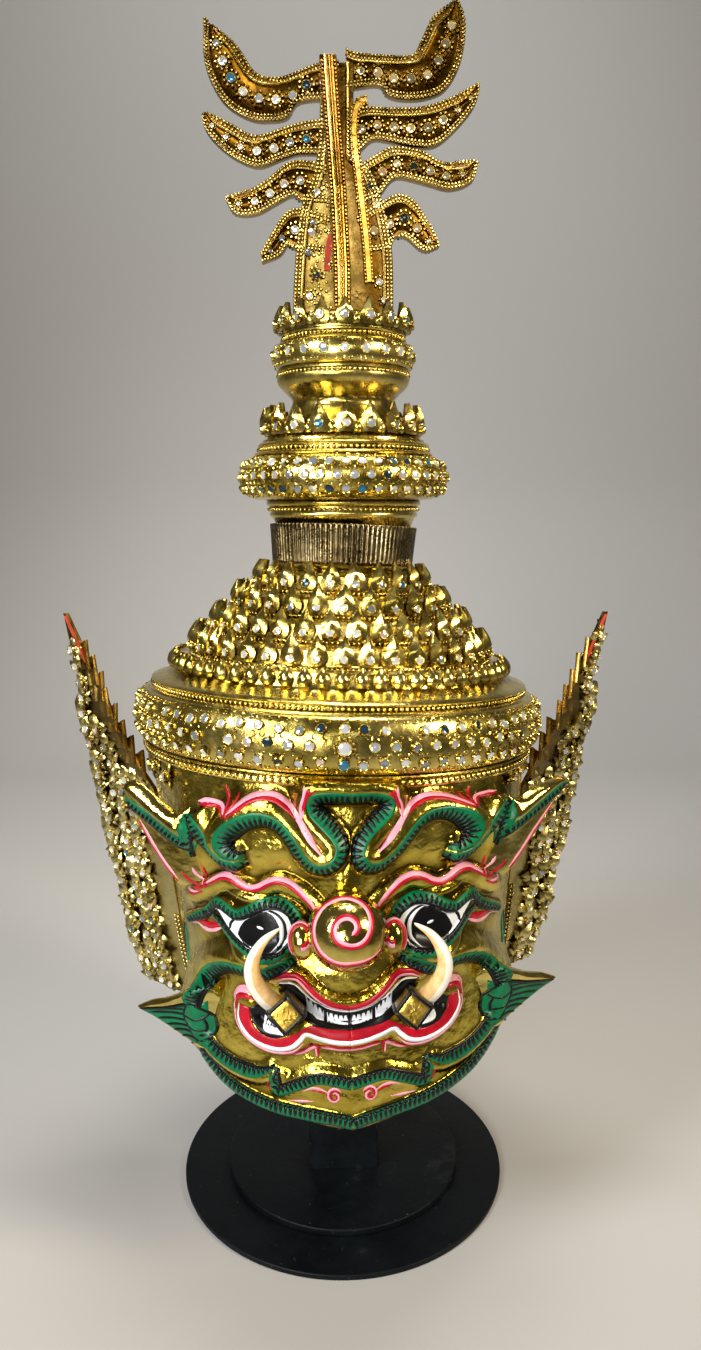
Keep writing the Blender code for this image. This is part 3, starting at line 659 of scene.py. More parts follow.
def mound(u, z, centre, spread, height, power=2.0):
    """A soft mound: height times e to the minus half of the squared distance in spreads."""
    d = ((u - centre[0]) / spread[0]) ** 2 + ((z - centre[1]) / spread[1]) ** 2
    return height * np.exp(-0.5 * d ** (power / 2))


def jaw_level(phi, z):
    """Height on the face with the skew of the jaw taken off: it hangs lower on one side."""
    return z - JAW_SKEW * np.sin(phi) * (1 - smooth((z - 0.155) / 0.035))


def egg_radius(phi, z):
    """The plain head: two half ellipses, one in front and one behind."""
    side, front, back = (np.interp(z, HEAD_HEIGHTS, v) for v in (HEAD_HALF_WIDTHS, HEAD_FRONTS, HEAD_BACKS))
    depth = np.where(np.cos(phi) > 0, front, back)
    return 1.0 / np.sqrt((np.sin(phi) / side) ** 2 + (np.cos(phi) / depth) ** 2)


def head_radius(phi, z):
    """The plain head with the jaw plate, which stands out from it as a wide band in front."""
    egg = egg_radius(phi, z)
    z = jaw_level(phi, z)
    rise = 1 - smooth((z - JAW_FULL) / (JAW_TOP - JAW_FULL))
    wrap = 1 - smooth((np.abs(phi) - radians(60)) / radians(9))
    plate = JAW_SIDE + (JAW_FRONT - JAW_SIDE) * (1 - smooth(np.abs(phi) / radians(48)))
    return egg + (plate - egg) * rise * wrap


def face_places(phi, z):
    """The (u, z) in mm of a place at an angle and a height, u from the wandering middle line."""
    level = jaw_level(phi, z) / MM
    out = (head_radius(phi, z) + RELIEF_SKIN) * np.sin(phi) / MM
    return np.abs(out - np.interp(level, MIDDLE_HEIGHTS, MIDDLE_PLACES)), level


BROAD_FORMS = [((0, 186), (36, 14), 8), ((0, 238), (12, 17), 10), ((58, 192), (15, 8), 3),
    ((50, 257), (30, 11), 3.5, 4), ((48, 209), (26, 11), -3), ((0, 121), (16, 8), 2), ((0, 285), (30, 5), 3),
    ((70, 158), (16, 18), 2), ((89, 254), (9, 12), 7)]


def face_relief(phi, z):
    """Height of the carving over the plain head, in metres: broad forms plus the highest of the rolls."""
    u, z = face_places(phi, z)
    broad = sum(mound(u, z, *form) for form in BROAD_FORMS)
    eye_u = (u - 44.5) / np.where(u > 44.5, 31, 20)
    eye_z = (z - 209.5 - 0.22 * np.maximum(u - 48, 0)) / 19
    eyeball = 8.5 * np.clip(1 - eye_u ** 2 - eye_z ** 2, 0, 1) ** 0.62
    cheek = np.where(z > 143, roll(CHEEK, u, z, 5.5, 0.9), roll(CHEEK, u, z, 3.0, 0.5))
    rolls = [roll(BROW, u, z, 8.0), roll(FLAME, u, z, 5.0, 0.8), cheek, roll(CHIN, u, z, 2.2, 0.4),
        ridge(RIDGE, u, z, 5.5, 5.0), ridge(UPPER_LID, u, z, 3.4, 3.0), ridge(LOWER_LID, u, z, 2.8, 2.0),
        ridge(UPPER_LIP, u, z, 4.6, 4.2), ridge(LOWER_LIP, u, z, 7.0, 5.0), ridge(RIM_BAND, u, z, 3.8, 2.4)]
    mouth = ridge([(-9, 168), (0, 167.6), (12, 169), (22, 174), (32, 180)], u, z, 4.0, 2.4)
    return (broad + eyeball + np.max(rolls, axis=0) - mouth) * MM * (np.cos(phi) > 0.1)


GRID_ANGLES = np.radians(np.linspace(-84, 84, 673))
GRID_HEIGHTS = np.linspace(0.100, 0.2890, 379)
grid_phi, grid_z = np.meshgrid(GRID_ANGLES, GRID_HEIGHTS)
grid_radius = head_radius(grid_phi, grid_z) + face_relief(grid_phi, grid_z)
CREASE_REACH = 7
CREASE_DEPTH = 1.1


def blurred(grid, reach):
    """The mean over a square of lines, first down and then across."""
    for axis in (0, 1):
        grid = sum(np.roll(grid, k, axis) for k in range(-reach, reach + 1)) / (2 * reach + 1)
    return grid


# Painted shade for the creases: how far each place lies under its blurred neighbours, up to the crease depth.
crease_shade_grid = np.clip((blurred(grid_radius, CREASE_REACH) - grid_radius) / (CREASE_DEPTH * MM), 0, 1)
crease_shade_grid[:, :8] = crease_shade_grid[:, -8:] = crease_shade_grid[:8] = crease_shade_grid[-8:] = 0
print("relief up to", round(float((grid_radius - head_radius(grid_phi, grid_z)).max() / MM), 1), "mm")


# %% Read the height field
def bilinear(grid, row, column):
    """A value between the grid's lines: the four corners weighed by nearness."""
    row = np.clip(row, 0, grid.shape[0] - 1.001)
    column = np.clip(column, 0, grid.shape[1] - 1.001)
    i, j = row.astype(int), column.astype(int)
    a, b = row - i, column - j
    first = grid[i, j] * (1 - a) + grid[i + 1, j] * a
    second = grid[i, j + 1] * (1 - a) + grid[i + 1, j + 1] * a
    return first * (1 - b) + second * b


def read_grid(grid, phi, z, plain):
    """A value of the carved face, read from its grid in front and plain behind."""
    row = (z - GRID_HEIGHTS[0]) / (GRID_HEIGHTS[1] - GRID_HEIGHTS[0])
    column = (phi - GRID_ANGLES[0]) / (GRID_ANGLES[1] - GRID_ANGLES[0])
    return np.where(np.abs(phi) < GRID_ANGLES[-1], bilinear(grid, row, column), plain)


def face_radius(phi, z):
    """Radius of the carved face."""
    return read_grid(grid_radius, phi, z, head_radius(phi, z))


def around_axis(phi, z, radius):
    """The point at an angle, a height and a radius."""
    return np.stack([radius * np.sin(phi), -radius * np.cos(phi), z], -1)


def on_face(u, z, side, lift):
    """Points on the carved face at (u, z) in mm, lifted along the surface's normal, before the pose."""
    z = np.asarray(z, float) * MM
    x = (side * np.asarray(u, float) + np.interp(z / MM, MIDDLE_HEIGHTS, MIDDLE_PLACES)) * MM
    level, phi = z, np.arcsin(np.clip(x / 0.125, -0.97, 0.97))
    for _ in range(8):
        level = z + (level - jaw_level(phi, level))
        phi = np.arcsin(np.clip(x / (head_radius(phi, level) + RELIEF_SKIN), -0.97, 0.97))
    step = 0.0005
    turn = step / 0.12
    here = around_axis(phi, level, face_radius(phi, level))
    right = around_axis(phi + turn, level, face_radius(phi + turn, level)) - here
    up = around_axis(phi, level + step, face_radius(phi, level + step)) - here
    normal = np.cross(right, up)
    normal /= np.linalg.norm(normal, axis=-1, keepdims=True)
    return here + normal * np.asarray(lift)[..., None]


# %% [markdown]
# The shell
#
# Seen from inside and outside the shell is one closed surface: its profile runs down the
# inner wall, round the rim and up the carved outside, and goes all the way round. The columns
# are dense in front, where the carving is, and wide behind.

# %% Head shell
FRONT_COLUMNS, BACK_COLUMNS, OUTER_ROWS, INNER_ROWS = 304, 56, 214, 10
front_phi = np.radians(np.linspace(-84, 84, FRONT_COLUMNS))
back_phi = np.radians(np.linspace(84, 276, BACK_COLUMNS + 2)[1:-1])
all_phi = np.concatenate([front_phi, back_phi])
turn_phi = (all_phi + pi) % (2 * pi) - pi
SHELL_TOP = 0.2880
INNER_TOP = 0.2875


def rim_height(phi):
    """Height of the shell's lower edge."""
    return np.interp(np.degrees(np.abs(phi)), RIM_ANGLES, RIM_HEIGHTS) + JAW_SKEW * np.sin(phi)


def make_shell():
    """Rows of points from the rim to the crown, outside and inside, closed into a ring."""
    rise = np.linspace(0, 1, OUTER_ROWS)[:, None]
    low = rim_height(turn_phi)[None, :]
    z = low + (SHELL_TOP - low) * rise
    phi = np.repeat(turn_phi[None, :], OUTER_ROWS, axis=0)
    outer = around_axis(phi, z, face_radius(phi, z) - 0.0006 * (1 - smooth(rise / 0.012)))
    # Painted shade: darker in the creases of the carving, and on the band above the brows that lies under the
    # crown's torus.
    light = (1 - 0.85 * read_grid(crease_shade_grid, phi, z, 0.0)) * (1 - 0.20 * smooth((z - 0.262) / 0.012))
    fall = np.linspace(1, 0, INNER_ROWS)[:, None]
    z = low + 0.0004 + (INNER_TOP - low) * fall
    phi = np.repeat(turn_phi[None, :], INNER_ROWS, axis=0)
    inner = around_axis(phi, z, egg_radius(phi, z) - WALL)
    form = closed_form(pose_head(np.concatenate([outer, inner])), lids=False)
    inside = np.repeat(np.arange(OUTER_ROWS + INNER_ROWS) >= OUTER_ROWS, len(all_phi))
    light = np.append(light, np.ones(inner.size // 3))
    make_piece("face_shell", "mask_head", form, [gold, red_back], which=inside, sharp=0,
        colours=toned(light))


make_shell()

# %% [markdown]
# Horns and flares
#
# The horns at the ends of the brows and the green flares of the jaw stand far out from the
# face, so they can't be part of the height field. Each is a flap: its radius grows with the
# angle as in the solid, (u, z) outlines are laid on it, and at its root it sinks into the face.

# %% Flaps
SHEET_ANGLES = np.radians(np.linspace(34, 78, 70))
ROOT_SINK = 8.0
EDGE_SOFT = 2.5
HORN_TOP = [(74, 266), (80, 268), (85, 268.8), (89, 266), (93, 265.4), (98, 267.6), (108, 272.8),
    (115, 275.6), (120, 275.8), (123, 272.6)]
HORN_UNDER = [(74, 228), (82, 226), (89, 224.5), (97, 233), (106, 245), (114.5, 256), (120, 262.5),
    (122.8, 266)]
HORN_LINE = [(82, 247), (86.5, 248.8), (95, 253), (108, 261), (121.5, 268.6)]
FLARE_TOP = [(74, 176), (82, 173.5), (88, 169.5), (94, 165.5), (101, 162), (110, 158.8), (117.5, 154.5)]
FLARE_UNDER = [(74, 134), (82, 137), (88, 139.5), (94, 142), (102, 146), (110, 149.5), (117.5, 153)]


class Flap:
    """A plate that stands off the head between an upper and a lower edge."""

    def __init__(self, base, angles, heights, power, edges, root, form, skew=0.0):
        share = np.clip((SHEET_ANGLES - radians(angles[0])) / radians(angles[1] - angles[0]), 0, 1.15)
        self.radius = base + (heights[0] + (heights[1] - heights[0]) * share ** power) * MM
        self.reach = self.radius * np.sin(SHEET_ANGLES)
        self.top, self.under = edges
        self.root, self.form, self.skew = root, form, skew

    def height(self, u, z):
        """Height of its face in mm: its own form, rounded down towards the edges and sunk at the root."""
        edge = np.minimum(*[np.abs(signed_distance(e, u, z)[0]) for e in (self.top, self.under)])
        sink = ROOT_SINK * (1 - smooth((u - self.root[0]) / (self.root[1] - self.root[0])))
        return self.form(u, z) * np.sqrt(np.clip(edge / EDGE_SOFT, 0, 1)) - sink

    def covers(self, u, z):
        """Whether a place lies within the outline, with some slack far out."""
        slack = np.interp(u, [self.root[1], 98, 108], [0.3, 2, 8])
        high, low = read_table(u, self.top), read_table(u, self.under)
        return (u > self.root[0]) & (z < high + slack) & (z > low - slack)

    def points(self, u, z, side, lift):
        """Points of (u, z) in mm on the flap, lifted outwards by a length in mm."""
        x = (side * u + np.interp(z, MIDDLE_HEIGHTS, MIDDLE_PLACES)) * MM
        phi = np.interp(np.abs(x), self.reach, SHEET_ANGLES)
        radius = np.interp(np.abs(x), self.reach, self.radius) + lift * MM
        return around_axis(side * phi, z * MM + self.skew * side * np.sin(phi), radius)

    def plate(self, side, thickness, rows=44):
        """The closed plate: its face, and a back that thins towards the tip."""
        high, low = resampled(self.top, rows), resampled(self.under, rows)
        share = np.linspace(0, 1, 25)
        flat = low[:, None] + (high - low)[:, None] * share[None, :, None]
        front = self.height(flat[..., 0], flat[..., 1])
        rim = np.clip(np.minimum(share, 1 - share) * 7, 0, 1) ** 0.5
        body = thickness * (1 - 0.6 * np.linspace(0, 1, rows)[:, None]) * rim
        top = self.points(flat[..., 0], flat[..., 1], side, front)
        base = self.points(flat[..., 0], flat[..., 1], side, np.minimum(front, 3.0) - body - 0.3)
        return closed_form(np.concatenate([top, base[:, ::-1]], axis=1))


def horn_form(u, z):
    """Height of the horn's face: flat below, a puffy roll above the green band."""
    d, along = signed_distance(HORN_LINE, u, z)
    swell = np.interp(d, [-3.4, -2.8, 2.8, 4.2, 5.8, 8.0, 10.5], [0, 0.22, 0.42, 0.85, 1.0, 0.9, 0.6]) * (1
        - 0.35 * along)
    return (1.0 + 6.4 * swell) * smooth((u - 83.5) / 6)


def flare_form(u, z):
    """Height of the flare's face: a gold rim along its upper edge over a nearly flat fan."""
    d, along = signed_distance(FLARE_TOP, u, z)
    return 0.8 + 4.6 * np.interp(-d, [0, 3.0, 6.0, 9.0], [0.8, 1.0, 0.40, 0.0]) * (1 - 0.5 * along)


HORN = Flap(0.1095, (44, 66), (8, 29), 1.3, (HORN_TOP, HORN_UNDER), (75, 87), horn_form)
FLARE = Flap(0.1150, (46, 62.5), (6, 24), 1.5, (FLARE_TOP, FLARE_UNDER), (75, 85), flare_form, JAW_SKEW)
flap_parts = [flap.plate(side, 7.5) for flap in (HORN, FLARE) for side in (-1, 1)]
make_piece("horns_and_flares", "mask_head", posed(joined(flap_parts)), [gold_smooth], sharp=60)

# %% [markdown]
# Painted lines and areas
#
# Every colour on the face is a thin closed ribbon laid on the carving. A path gives its middle
# line and a width says how far it reaches, so the broad green bands with their black edge and
# the short black strokes across them come from one path each. An area, such as the red of the
# lip or the white of an eye, is stretched between two edges. All are drawn on one half of the
# face and then on the other.


# %% Ribbons and areas
PAINT_DEPTH = 0.5
LAYERS = {"pink": 0.20, "white": 0.26, "green": 0.30, "red": 0.36, "black": 0.44, "over": 0.56,
    "patch": 0.66, "spike": 0.74}
paint = {name: [] for name in ("green", "black", "red", "pink", "white")}


def over(u, z, side, lift):
    """Points laid on whatever stands outermost at (u, z): the face, a horn or a flare."""
    best = on_face(u, z, side, lift * MM)
    for flap in (HORN, FLARE):
        there = flap.covers(u, z)
        if there.any():
            points = flap.points(u, z, side, flap.height(u, z) + lift)
            out = np.hypot(points[..., 0], points[..., 1]) > np.hypot(best[..., 0], best[..., 1])
            best = np.where((there & out)[..., None], points, best)
    return best


def path_sides(path):
    """Unit vectors to the left of a path, at each of its points."""
    run = np.gradient(path, axis=0)
    run /= np.linalg.norm(run, axis=1, keepdims=True) + 1e-9
    return np.stack([-run[:, 1], run[:, 0]], 1)


def laid(flat, side, lift):
    """A closed plate over a grid of (u, z): its upper face and the same below, sunk a little."""
    u, z = flat[..., 0], flat[..., 1]
    under = over(u, z, side, lift - PAINT_DEPTH)[:, ::-1]
    return closed_form(np.concatenate([over(u, z, side, lift), under], axis=1))


def ribbon(path, low, high, side, lift, across=3):
    """A thin band over a path from one offset to another; both offsets may change along it."""
    low, high = np.broadcast_to(low, len(path)), np.broadcast_to(high, len(path))
    offset = low[:, None] + (high - low)[:, None] * np.linspace(0, 1, across)
    return laid(path[:, None, :] + path_sides(path)[:, None, :] * offset[..., None], side, lift)


def thinned(t, ends, reach):
    """Shares of a stroke's width along it: 1 in the middle, eased down to a share at each end."""
    first, last = (end + (1 - end) * smooth(way / r) for end, way, r in zip(ends, (t, 1 - t), reach))
    return np.minimum(first, last)


def brush(colour, width, points, ends=(0.15, 0.15), shift=0.0, reach=0.2, layer=None):
    """A stroke along a smooth path on both halves of the face, thinned at its ends."""
    path = even_path(points, 1.1)
    half = width / 2 * thinned(np.linspace(0, 1, len(path)), ends, (reach, reach))
    for side in (-1, 1):
        paint[colour].append(ribbon(path, shift - half, shift + half, side, LAYERS[layer or colour]))


def area(colour, first, second, across=9, spacing=1.2, layer=None):
    """A painted area stretched between two edges, on both halves of the face."""
    count = max(int(way_along(np.array(first, float))[-1] / spacing), 6)
    a, b = resampled(first, count), resampled(second, count)
    flat = a[:, None] + (b - a)[:, None] * np.linspace(0, 1, across)[None, :, None]
    for side in (-1, 1):
        paint[colour].append(laid(flat, side, LAYERS[layer or colour]))


def band(points, half, black_side=-1, reach=0.78, ends=(1, 1), sides=(-1, 1)):
    """A green band with a black edge on one side and short black strokes that stand on that edge."""
    path = even_path(points, 0.9)
    t = np.linspace(0, 1, len(path))
    if np.isscalar(half):
        wide = half * thinned(t, ends, (0.08, 0.12))
    else:
        wide = np.interp(t, np.linspace(0, 1, len(half)), half)
    left = path_sides(path)
    rim = np.sort(np.stack([black_side * (wide + 0.6), black_side * np.maximum(wide - 1.1, 0.1)]), axis=0)
    for side in sides:
        paint["green"].append(ribbon(path, -wide, wide, side, LAYERS["green"], 7))
        paint["black"].append(ribbon(path, rim[0], rim[1], side, LAYERS["black"], 2))
        for k in range(2, len(path) - 2, 3):
            foot = path[k] + left[k] * black_side * wide[k] * 0.95
            tip = path[k] + left[k] * black_side * wide[k] * (1 - 2 * reach * dice.uniform(0.88, 1.1))
            thick = np.array([0.94, 0.88, 0.74, 0.16]) * dice.uniform(0.85, 1.15)
            paint["black"].append(ribbon(np.linspace(foot, tip, 4), -thick, thick, side, LAYERS["over"], 2))


def spiral(centre, radius, turns, start, count=26):
    """Points of a flat spiral whose radius grows evenly."""
    a = start + np.linspace(0, turns * 2 * pi, count)
    r = np.linspace(0.12, 1, count) * radius
    return np.column_stack([centre[0] + r * np.cos(a), centre[1] + r * np.sin(a)])


# %% Green bands
BROW_WIDTH = [3.2, 3.2, 3.2, 3.2, 3.0, 3.0, 3.1, 3.2, 3.2, 3.2, 3.4, 4.2, 4.8, 3.6, 1.5]
band([p for p in BROW if p[0] >= 0], BROW_WIDTH, sides=(-1,))
band(BROW[1:], BROW_WIDTH, sides=(1,))
band(FLAME, [1.4, 3.1, 3.7, 4.0, 4.0, 3.6, 1.2])
band([(84.0, 240.5), (85.0, 247), (85.6, 256), (86.4, 265.5)], [0.1, 1.3, 2.0, 1.9, 0.8], black_side=1,
    reach=0.5)
band(HORN_LINE, [3.2, 3.4, 3.3, 3.1, 2.6, 1.2])
band(UPPER_LID, [1.6, 2.4, 2.6, 2.6, 2.6, 2.5, 2.2, 1.2])
band(LOWER_LID, [1.2, 1.9, 1.9, 1.8, 1.7, 1.2], black_side=1, reach=0.5)
band(CHEEK, 3.3, ends=(0.8, 0.3))
band(CHIN[1:], 3.1, black_side=1, ends=(1.0, 0.3))
band(RIM_BAND[1:], 3.1, black_side=1, ends=(1.0, 0.4))
band([(99, 190), (99.5, 181), (99, 172)], [0.8, 1.9, 2.2, 1.6], black_side=1, reach=0.5)
brush("black", 0.9, [(42.5, 130), (41.8, 134.5), (40.6, 139)], layer="over")

# %% Flares and their knots
area("green", [(79, 164), (88, 160), (101, 155.6), (115.5, 153.4)], [(79, 138.5), (90, 142), (102, 146.8),
    (115.5, 152.8)], 13)
for start, end in (((88.6, 157.6), (112, 153.6)), ((89.2, 154.6), (110, 152)),
        ((88.6, 151.4), (106, 149.2)), ((87, 148.6), (101, 146.4)), ((85.4, 146), (97, 144)),
        ((83.4, 143.2), (92, 141.6))):
    brush("black", 1.3, [start, ((start[0] + end[0]) / 2, (start[1] + end[1]) / 2 + 0.6), end],
        ends=(0.9, 0.1), layer="over")
brush("black", 1.3, [(84, 162.4), (90, 160), (101, 156), (115.5, 153.6)], layer="over")
KNOT_IN = [(83.2, 161.4), (78.6, 157.4), (75.4, 152.7), (75.8, 148.4), (77.9, 145.1), (81.6, 141.2)]
KNOT_OUT = [(87, 161), (89, 157.5), (89.4, 153.6), (87.4, 149.6), (84.8, 145.4), (82.4, 141.4)]
area("green", KNOT_IN, KNOT_OUT, 11, 0.9, layer="patch")
for line in (KNOT_IN, KNOT_OUT, [(89, 154), (84.5, 153.2), (81, 154), (78.6, 156.8)],
        [(80.4, 154), (79.4, 150.5), (79.4, 147.6), (78.2, 145)],
        [(87, 148.6), (83.5, 147.6), (79.6, 147.4)]):
    brush("black", 1.0, line, ends=(1, 1), layer="spike")

# %% Red and pink lines over the brows
PINK_BROW = [(12.3, 251), (17.7, 256.8), (22.5, 263.5), (27, 270), (31.5, 274.5), (38.5, 278.3),
    (45.7, 278.7), (53, 276.5), (61, 271.5), (65, 268.4)]
PINK_OUTER = [(65, 268.6), (70, 271.2), (77, 272.2), (84, 271.6)]
brush("pink", 3.0, PINK_BROW)
brush("red", 1.7, PINK_BROW[3:], shift=-1.5)
brush("pink", 2.6, PINK_OUTER)
brush("red", 1.6, PINK_OUTER, shift=-1.3)
brush("red", 1.8, [(64.5, 268), (65.5, 273), (68.5, 280)], ends=(1, 0.1))
brush("red", 1.1, [(64, 270), (60.5, 274.5), (59.6, 278)], ends=(1, 0.1))
brush("pink", 2.4, [(25.3, 268.5), (24.6, 275.5), (22.6, 281), (23.4, 285.4)], ends=(0.2, 0.2))
brush("red", 1.6, [(24.6, 273), (22.6, 278.5), (20.6, 284.6)], ends=(0.1, 0.6))
brush("red", 1.2, [(21.6, 280.5), (18.2, 283.6)], ends=(1, 0.1))

# %% Lines over the eyes
LID_LINE = [(14.5, 222.5), (18.5, 227.8), (24, 232.8), (29.5, 236.2), (35.7, 237.4), (41.3, 235.7),
    (46, 232.8), (51, 231.3), (56, 232.6), (62, 235.2), (67.5, 235), (72.5, 231.8), (77.5, 227.5)]
brush("pink", 2.8, LID_LINE, ends=(0.5, 0.3))
brush("red", 1.6, LID_LINE, ends=(0.3, 0.3), shift=-1.6)
for points, width in (([(76, 228.5), (80, 224.5), (87, 222.5)], 1.4),
        ([(77.5, 227), (79.5, 231), (80.5, 236)], 1.0), ([(81, 224.5), (85, 228.5), (87.5, 232.5)], 1.0),
        ([(79, 223), (84, 219.5), (88, 218.5)], 1.0)):
    brush("red", width, points, ends=(1, 0.1))
brush("pink", 1.0, [(78.5, 227), (82, 230.5), (83.5, 234.5)], ends=(1, 0.1))
brush("pink", 1.4, [(80, 222), (86, 220.6), (91, 221.6)], ends=(0.5, 0.1))
HORN_EDGE = [(89.5, 227), (97, 235), (106, 246.8), (114.5, 258)]
brush("pink", 1.7, HORN_EDGE, shift=0.6)
brush("red", 0.9, HORN_EDGE, shift=-0.7)
brush("red", 3.4, [(88, 203.4), (84, 201.8), (79.5, 201.6), (74.5, 203.4), (69.2, 206)], reach=0.45)
brush("pink", 2.2, [(89.4, 200.2), (84.3, 198.7), (80, 198.9), (74.6, 200.9), (68.4, 204.8)], reach=0.45)

# %% Eyes
SCLERA_TOP = [(72, 216.6), (67, 217.6), (62.5, 216), (57.8, 214.6), (52.4, 216.4), (47, 220), (41, 222.4),
    (36, 222.6), (31, 220), (27.4, 213.5)]
SCLERA_LOW = [(72, 215.6), (67.6, 211.6), (62.6, 207.2), (57, 203.4), (51.4, 201.2), (45, 199.8),
    (39, 199.4), (33.6, 201), (29.4, 205.4), (27.2, 211.5)]
area("white", SCLERA_TOP, SCLERA_LOW, 15, 0.9)
area("black", [(56.4, 206.6), (54.6, 211), (51.2, 215.4), (46.4, 219), (40.4, 221), (35, 219.2),
    (31.6, 215), (30.5, 210.6)], [(56.4, 205.8), (53.4, 202.8), (49.5, 200.8), (44.5, 199.6), (39.4, 199.8),
    (34.6, 201.8), (31.6, 205.2), (30.3, 209.6)], 17, 0.8)
brush("black", 1.5, [(57.8, 214.6), (60.8, 210.6), (61.6, 207)], layer="over")
brush("white", 2.0, [(41, 220.4), (37.2, 218.6), (34, 214.8), (33, 210.2), (33.8, 205.2), (37, 201.4)],
    ends=(0.2, 0.1), reach=0.4, layer="over")
brush("black", 1.0, SCLERA_LOW[:5], ends=(0.3, 0.6), shift=-0.2, layer="over")
# A small white stroke in each pupil: a painted highlight.
brush("white", 1.3, [(45.6, 212.2), (42.2, 211.4)], ends=(0.6, 0.3), layer="over")
brush("black", 1.3, SCLERA_TOP, ends=(0.3, 0.6), shift=0.2, layer="over")

# %% Mouth
LIP_LINE = [(37.5, 186), (32.6, 189), (26.6, 190), (22.8, 188.4), (19.6, 185), (15.2, 180.4), (8.8, 176),
    (0, 173.6)]
MOUTH_TOP = [(35, 184.2), (30, 184), (25.3, 182), (20.4, 176.6), (13, 170.4), (6, 168.2), (0, 167.6)]
LIP_INNER = [(52.5, 168.6), (51.8, 161.8), (47.5, 156.8), (40, 155.2), (32, 157), (25, 161.4), (20, 163.8),
    (12.7, 162.2), (0, 160.4)]
LIP_OUTER = [(57.6, 169.6), (58.4, 161.5), (53.8, 154.4), (46.2, 150.9), (37.6, 150), (30.8, 151.9),
    (26.2, 155.8), (22.8, 159.2), (16.3, 157.4), (8, 155.4), (0, 154.6)]
area("red", LIP_OUTER, LIP_INNER, 9, 1.0)
area("black", MOUTH_TOP, [(35, 171), (29, 168.5), (23, 165.6), (17, 163), (10, 161.4), (5, 160.8),
    (0, 160.4)], 13, 0.9)
area("black", [(52.4, 168.6), (46, 171), (40, 172.6), (34, 174.5)], [(51.6, 161.4), (46.8, 156.6),
    (39.5, 155.2), (32, 157.4)], 11, 0.9)
brush("white", 2.2, LIP_OUTER, ends=(0.1, 1), layer="over")
brush("pink", 1.3, [(60.2, 166), (60.4, 160), (55, 152.6), (46.6, 148.7), (37.4, 147.6), (30, 149.4),
    (24.6, 154.2)], layer="over")
brush("red", 0.8, [(36.5, 147.4), (28, 148), (20, 151.8), (13, 153.2), (6, 152.2), (0, 151.8)],
    ends=(0.2, 1), layer="over")
brush("pink", 1.5, [(37, 146.6), (28, 146.8), (20, 150.2), (13, 151.7), (6, 150.6), (0, 150.2)],
    ends=(0.2, 1))
brush("red", 2.4, LIP_LINE, ends=(0.2, 1))
brush("pink", 1.5, LIP_LINE, ends=(0.2, 1), shift=1.7)
brush("white", 1.0, [(34.6, 185), (28.5, 185.2), (24.2, 182.4), (19.2, 177.2), (12.4, 171.6), (5, 169.2),
    (0, 168.6)], ends=(0.2, 1), layer="over")
brush("pink", 2.6, [(61.6, 163), (62.8, 169), (60.6, 174), (56.4, 176.2), (51.5, 175.4), (47.6, 173.6)],
    reach=0.35)
brush("red", 2.3, [(60, 166.5), (59.4, 171.4), (56.4, 173.7), (52, 173.4), (48, 171.8)], reach=0.35)
for first, second in (([(1.0, 166.2), (6, 166.6), (12.1, 168.4)], [(1.0, 162.2), (6, 162.6), (12.1, 164)]),
        ([(13.9, 169.4), (18, 172.6), (22.8, 177.6)], [(13.9, 164.6), (18, 166.4), (22.8, 169.8)])):
    area("white", first, second, 6, 0.9, layer="over")
for u, z in ((1.0, 166.6), (3.4, 166.8), (6.0, 167), (8.6, 167.6), (11.2, 168.4), (14.6, 170.2),
        (16.8, 171.8), (19, 173.8), (21.2, 176.2)):
    brush("black", 1.3, [(u, z + 0.6), (u + 0.1, z - 2.6)], ends=(1, 0.1), reach=0.8, layer="spike")
area("white", [(45.6, 164.6), (43.4, 161.2), (39.8, 159.6), (34.5, 159.6)], [(46.2, 164.2), (46.6, 160),
    (44, 157.2), (35, 156.8)], 6, 0.8, layer="over")
for points in ([(44.4, 163), (45.6, 160.4)], [(42.2, 161), (43.4, 158.6)], [(39.6, 160.4), (40.2, 158.4)]):
    brush("black", 0.9, points, ends=(1, 0.1), reach=0.8, layer="spike")

# %% Marks on the chin
brush("red", 1.6, [(17.4, 154), (17.8, 149.5), (17.5, 144.8)], ends=(0.8, 0.1), reach=0.5)
brush("red", 1.1, [(15.6, 152.4), (17.4, 150.8), (19.4, 151.6)])
brush("pink", 1.0, [(18.9, 149.6), (18.5, 145.4)], ends=(0.8, 0.1))
curl = spiral((9.6, 125.2), 3.3, 1.35, 0.6)
brush("pink", 1.6, curl, shift=-0.9)
brush("red", 1.1, curl, ends=(0.6, 0.2))
brush("pink", 1.5, [(12.6, 126.6), (17, 128.4), (22, 128.6), (27.5, 126.4)], reach=0.5)
brush("red", 0.9, [(13, 125.6), (17.4, 127.2), (22, 127.4)], reach=0.5)
brush("pink", 1.4, [(21, 121.8), (28, 121), (35.5, 120.6)], reach=0.5)
brush("red", 1.0, [(44.5, 130.6), (46.5, 127.6), (44.6, 125.4), (42.8, 127)], reach=0.5)

for name, finish in (("green", green), ("black", black), ("red", red), ("pink", pink), ("white", white)):
    make_piece("paint_" + name, "mask_head", posed(joined(paint[name])), [finish], sharp=0)

# %% [markdown]
# Beads, mirrors and petals
#
# The crown is covered with a few small shapes, repeated. Each shape is a short closed tube of
# rings, drawn once at unit size with its axis along Z, and then copied to frames that stand
# on the surface: one axis along the ring, one up the slope and one outwards.

# %% Small shapes
def ringed_shape(profile, columns, lids=True):
    """A closed shape from a profile of (radius, height) turned about Z."""
    angles = np.arange(columns) * 2 * pi / columns
    c, s = np.cos(angles), np.sin(angles)
    rings = [np.column_stack([r * c, r * s, np.full(columns, h)]) for r, h in profile]
    return closed_form(np.array(rings), lids)


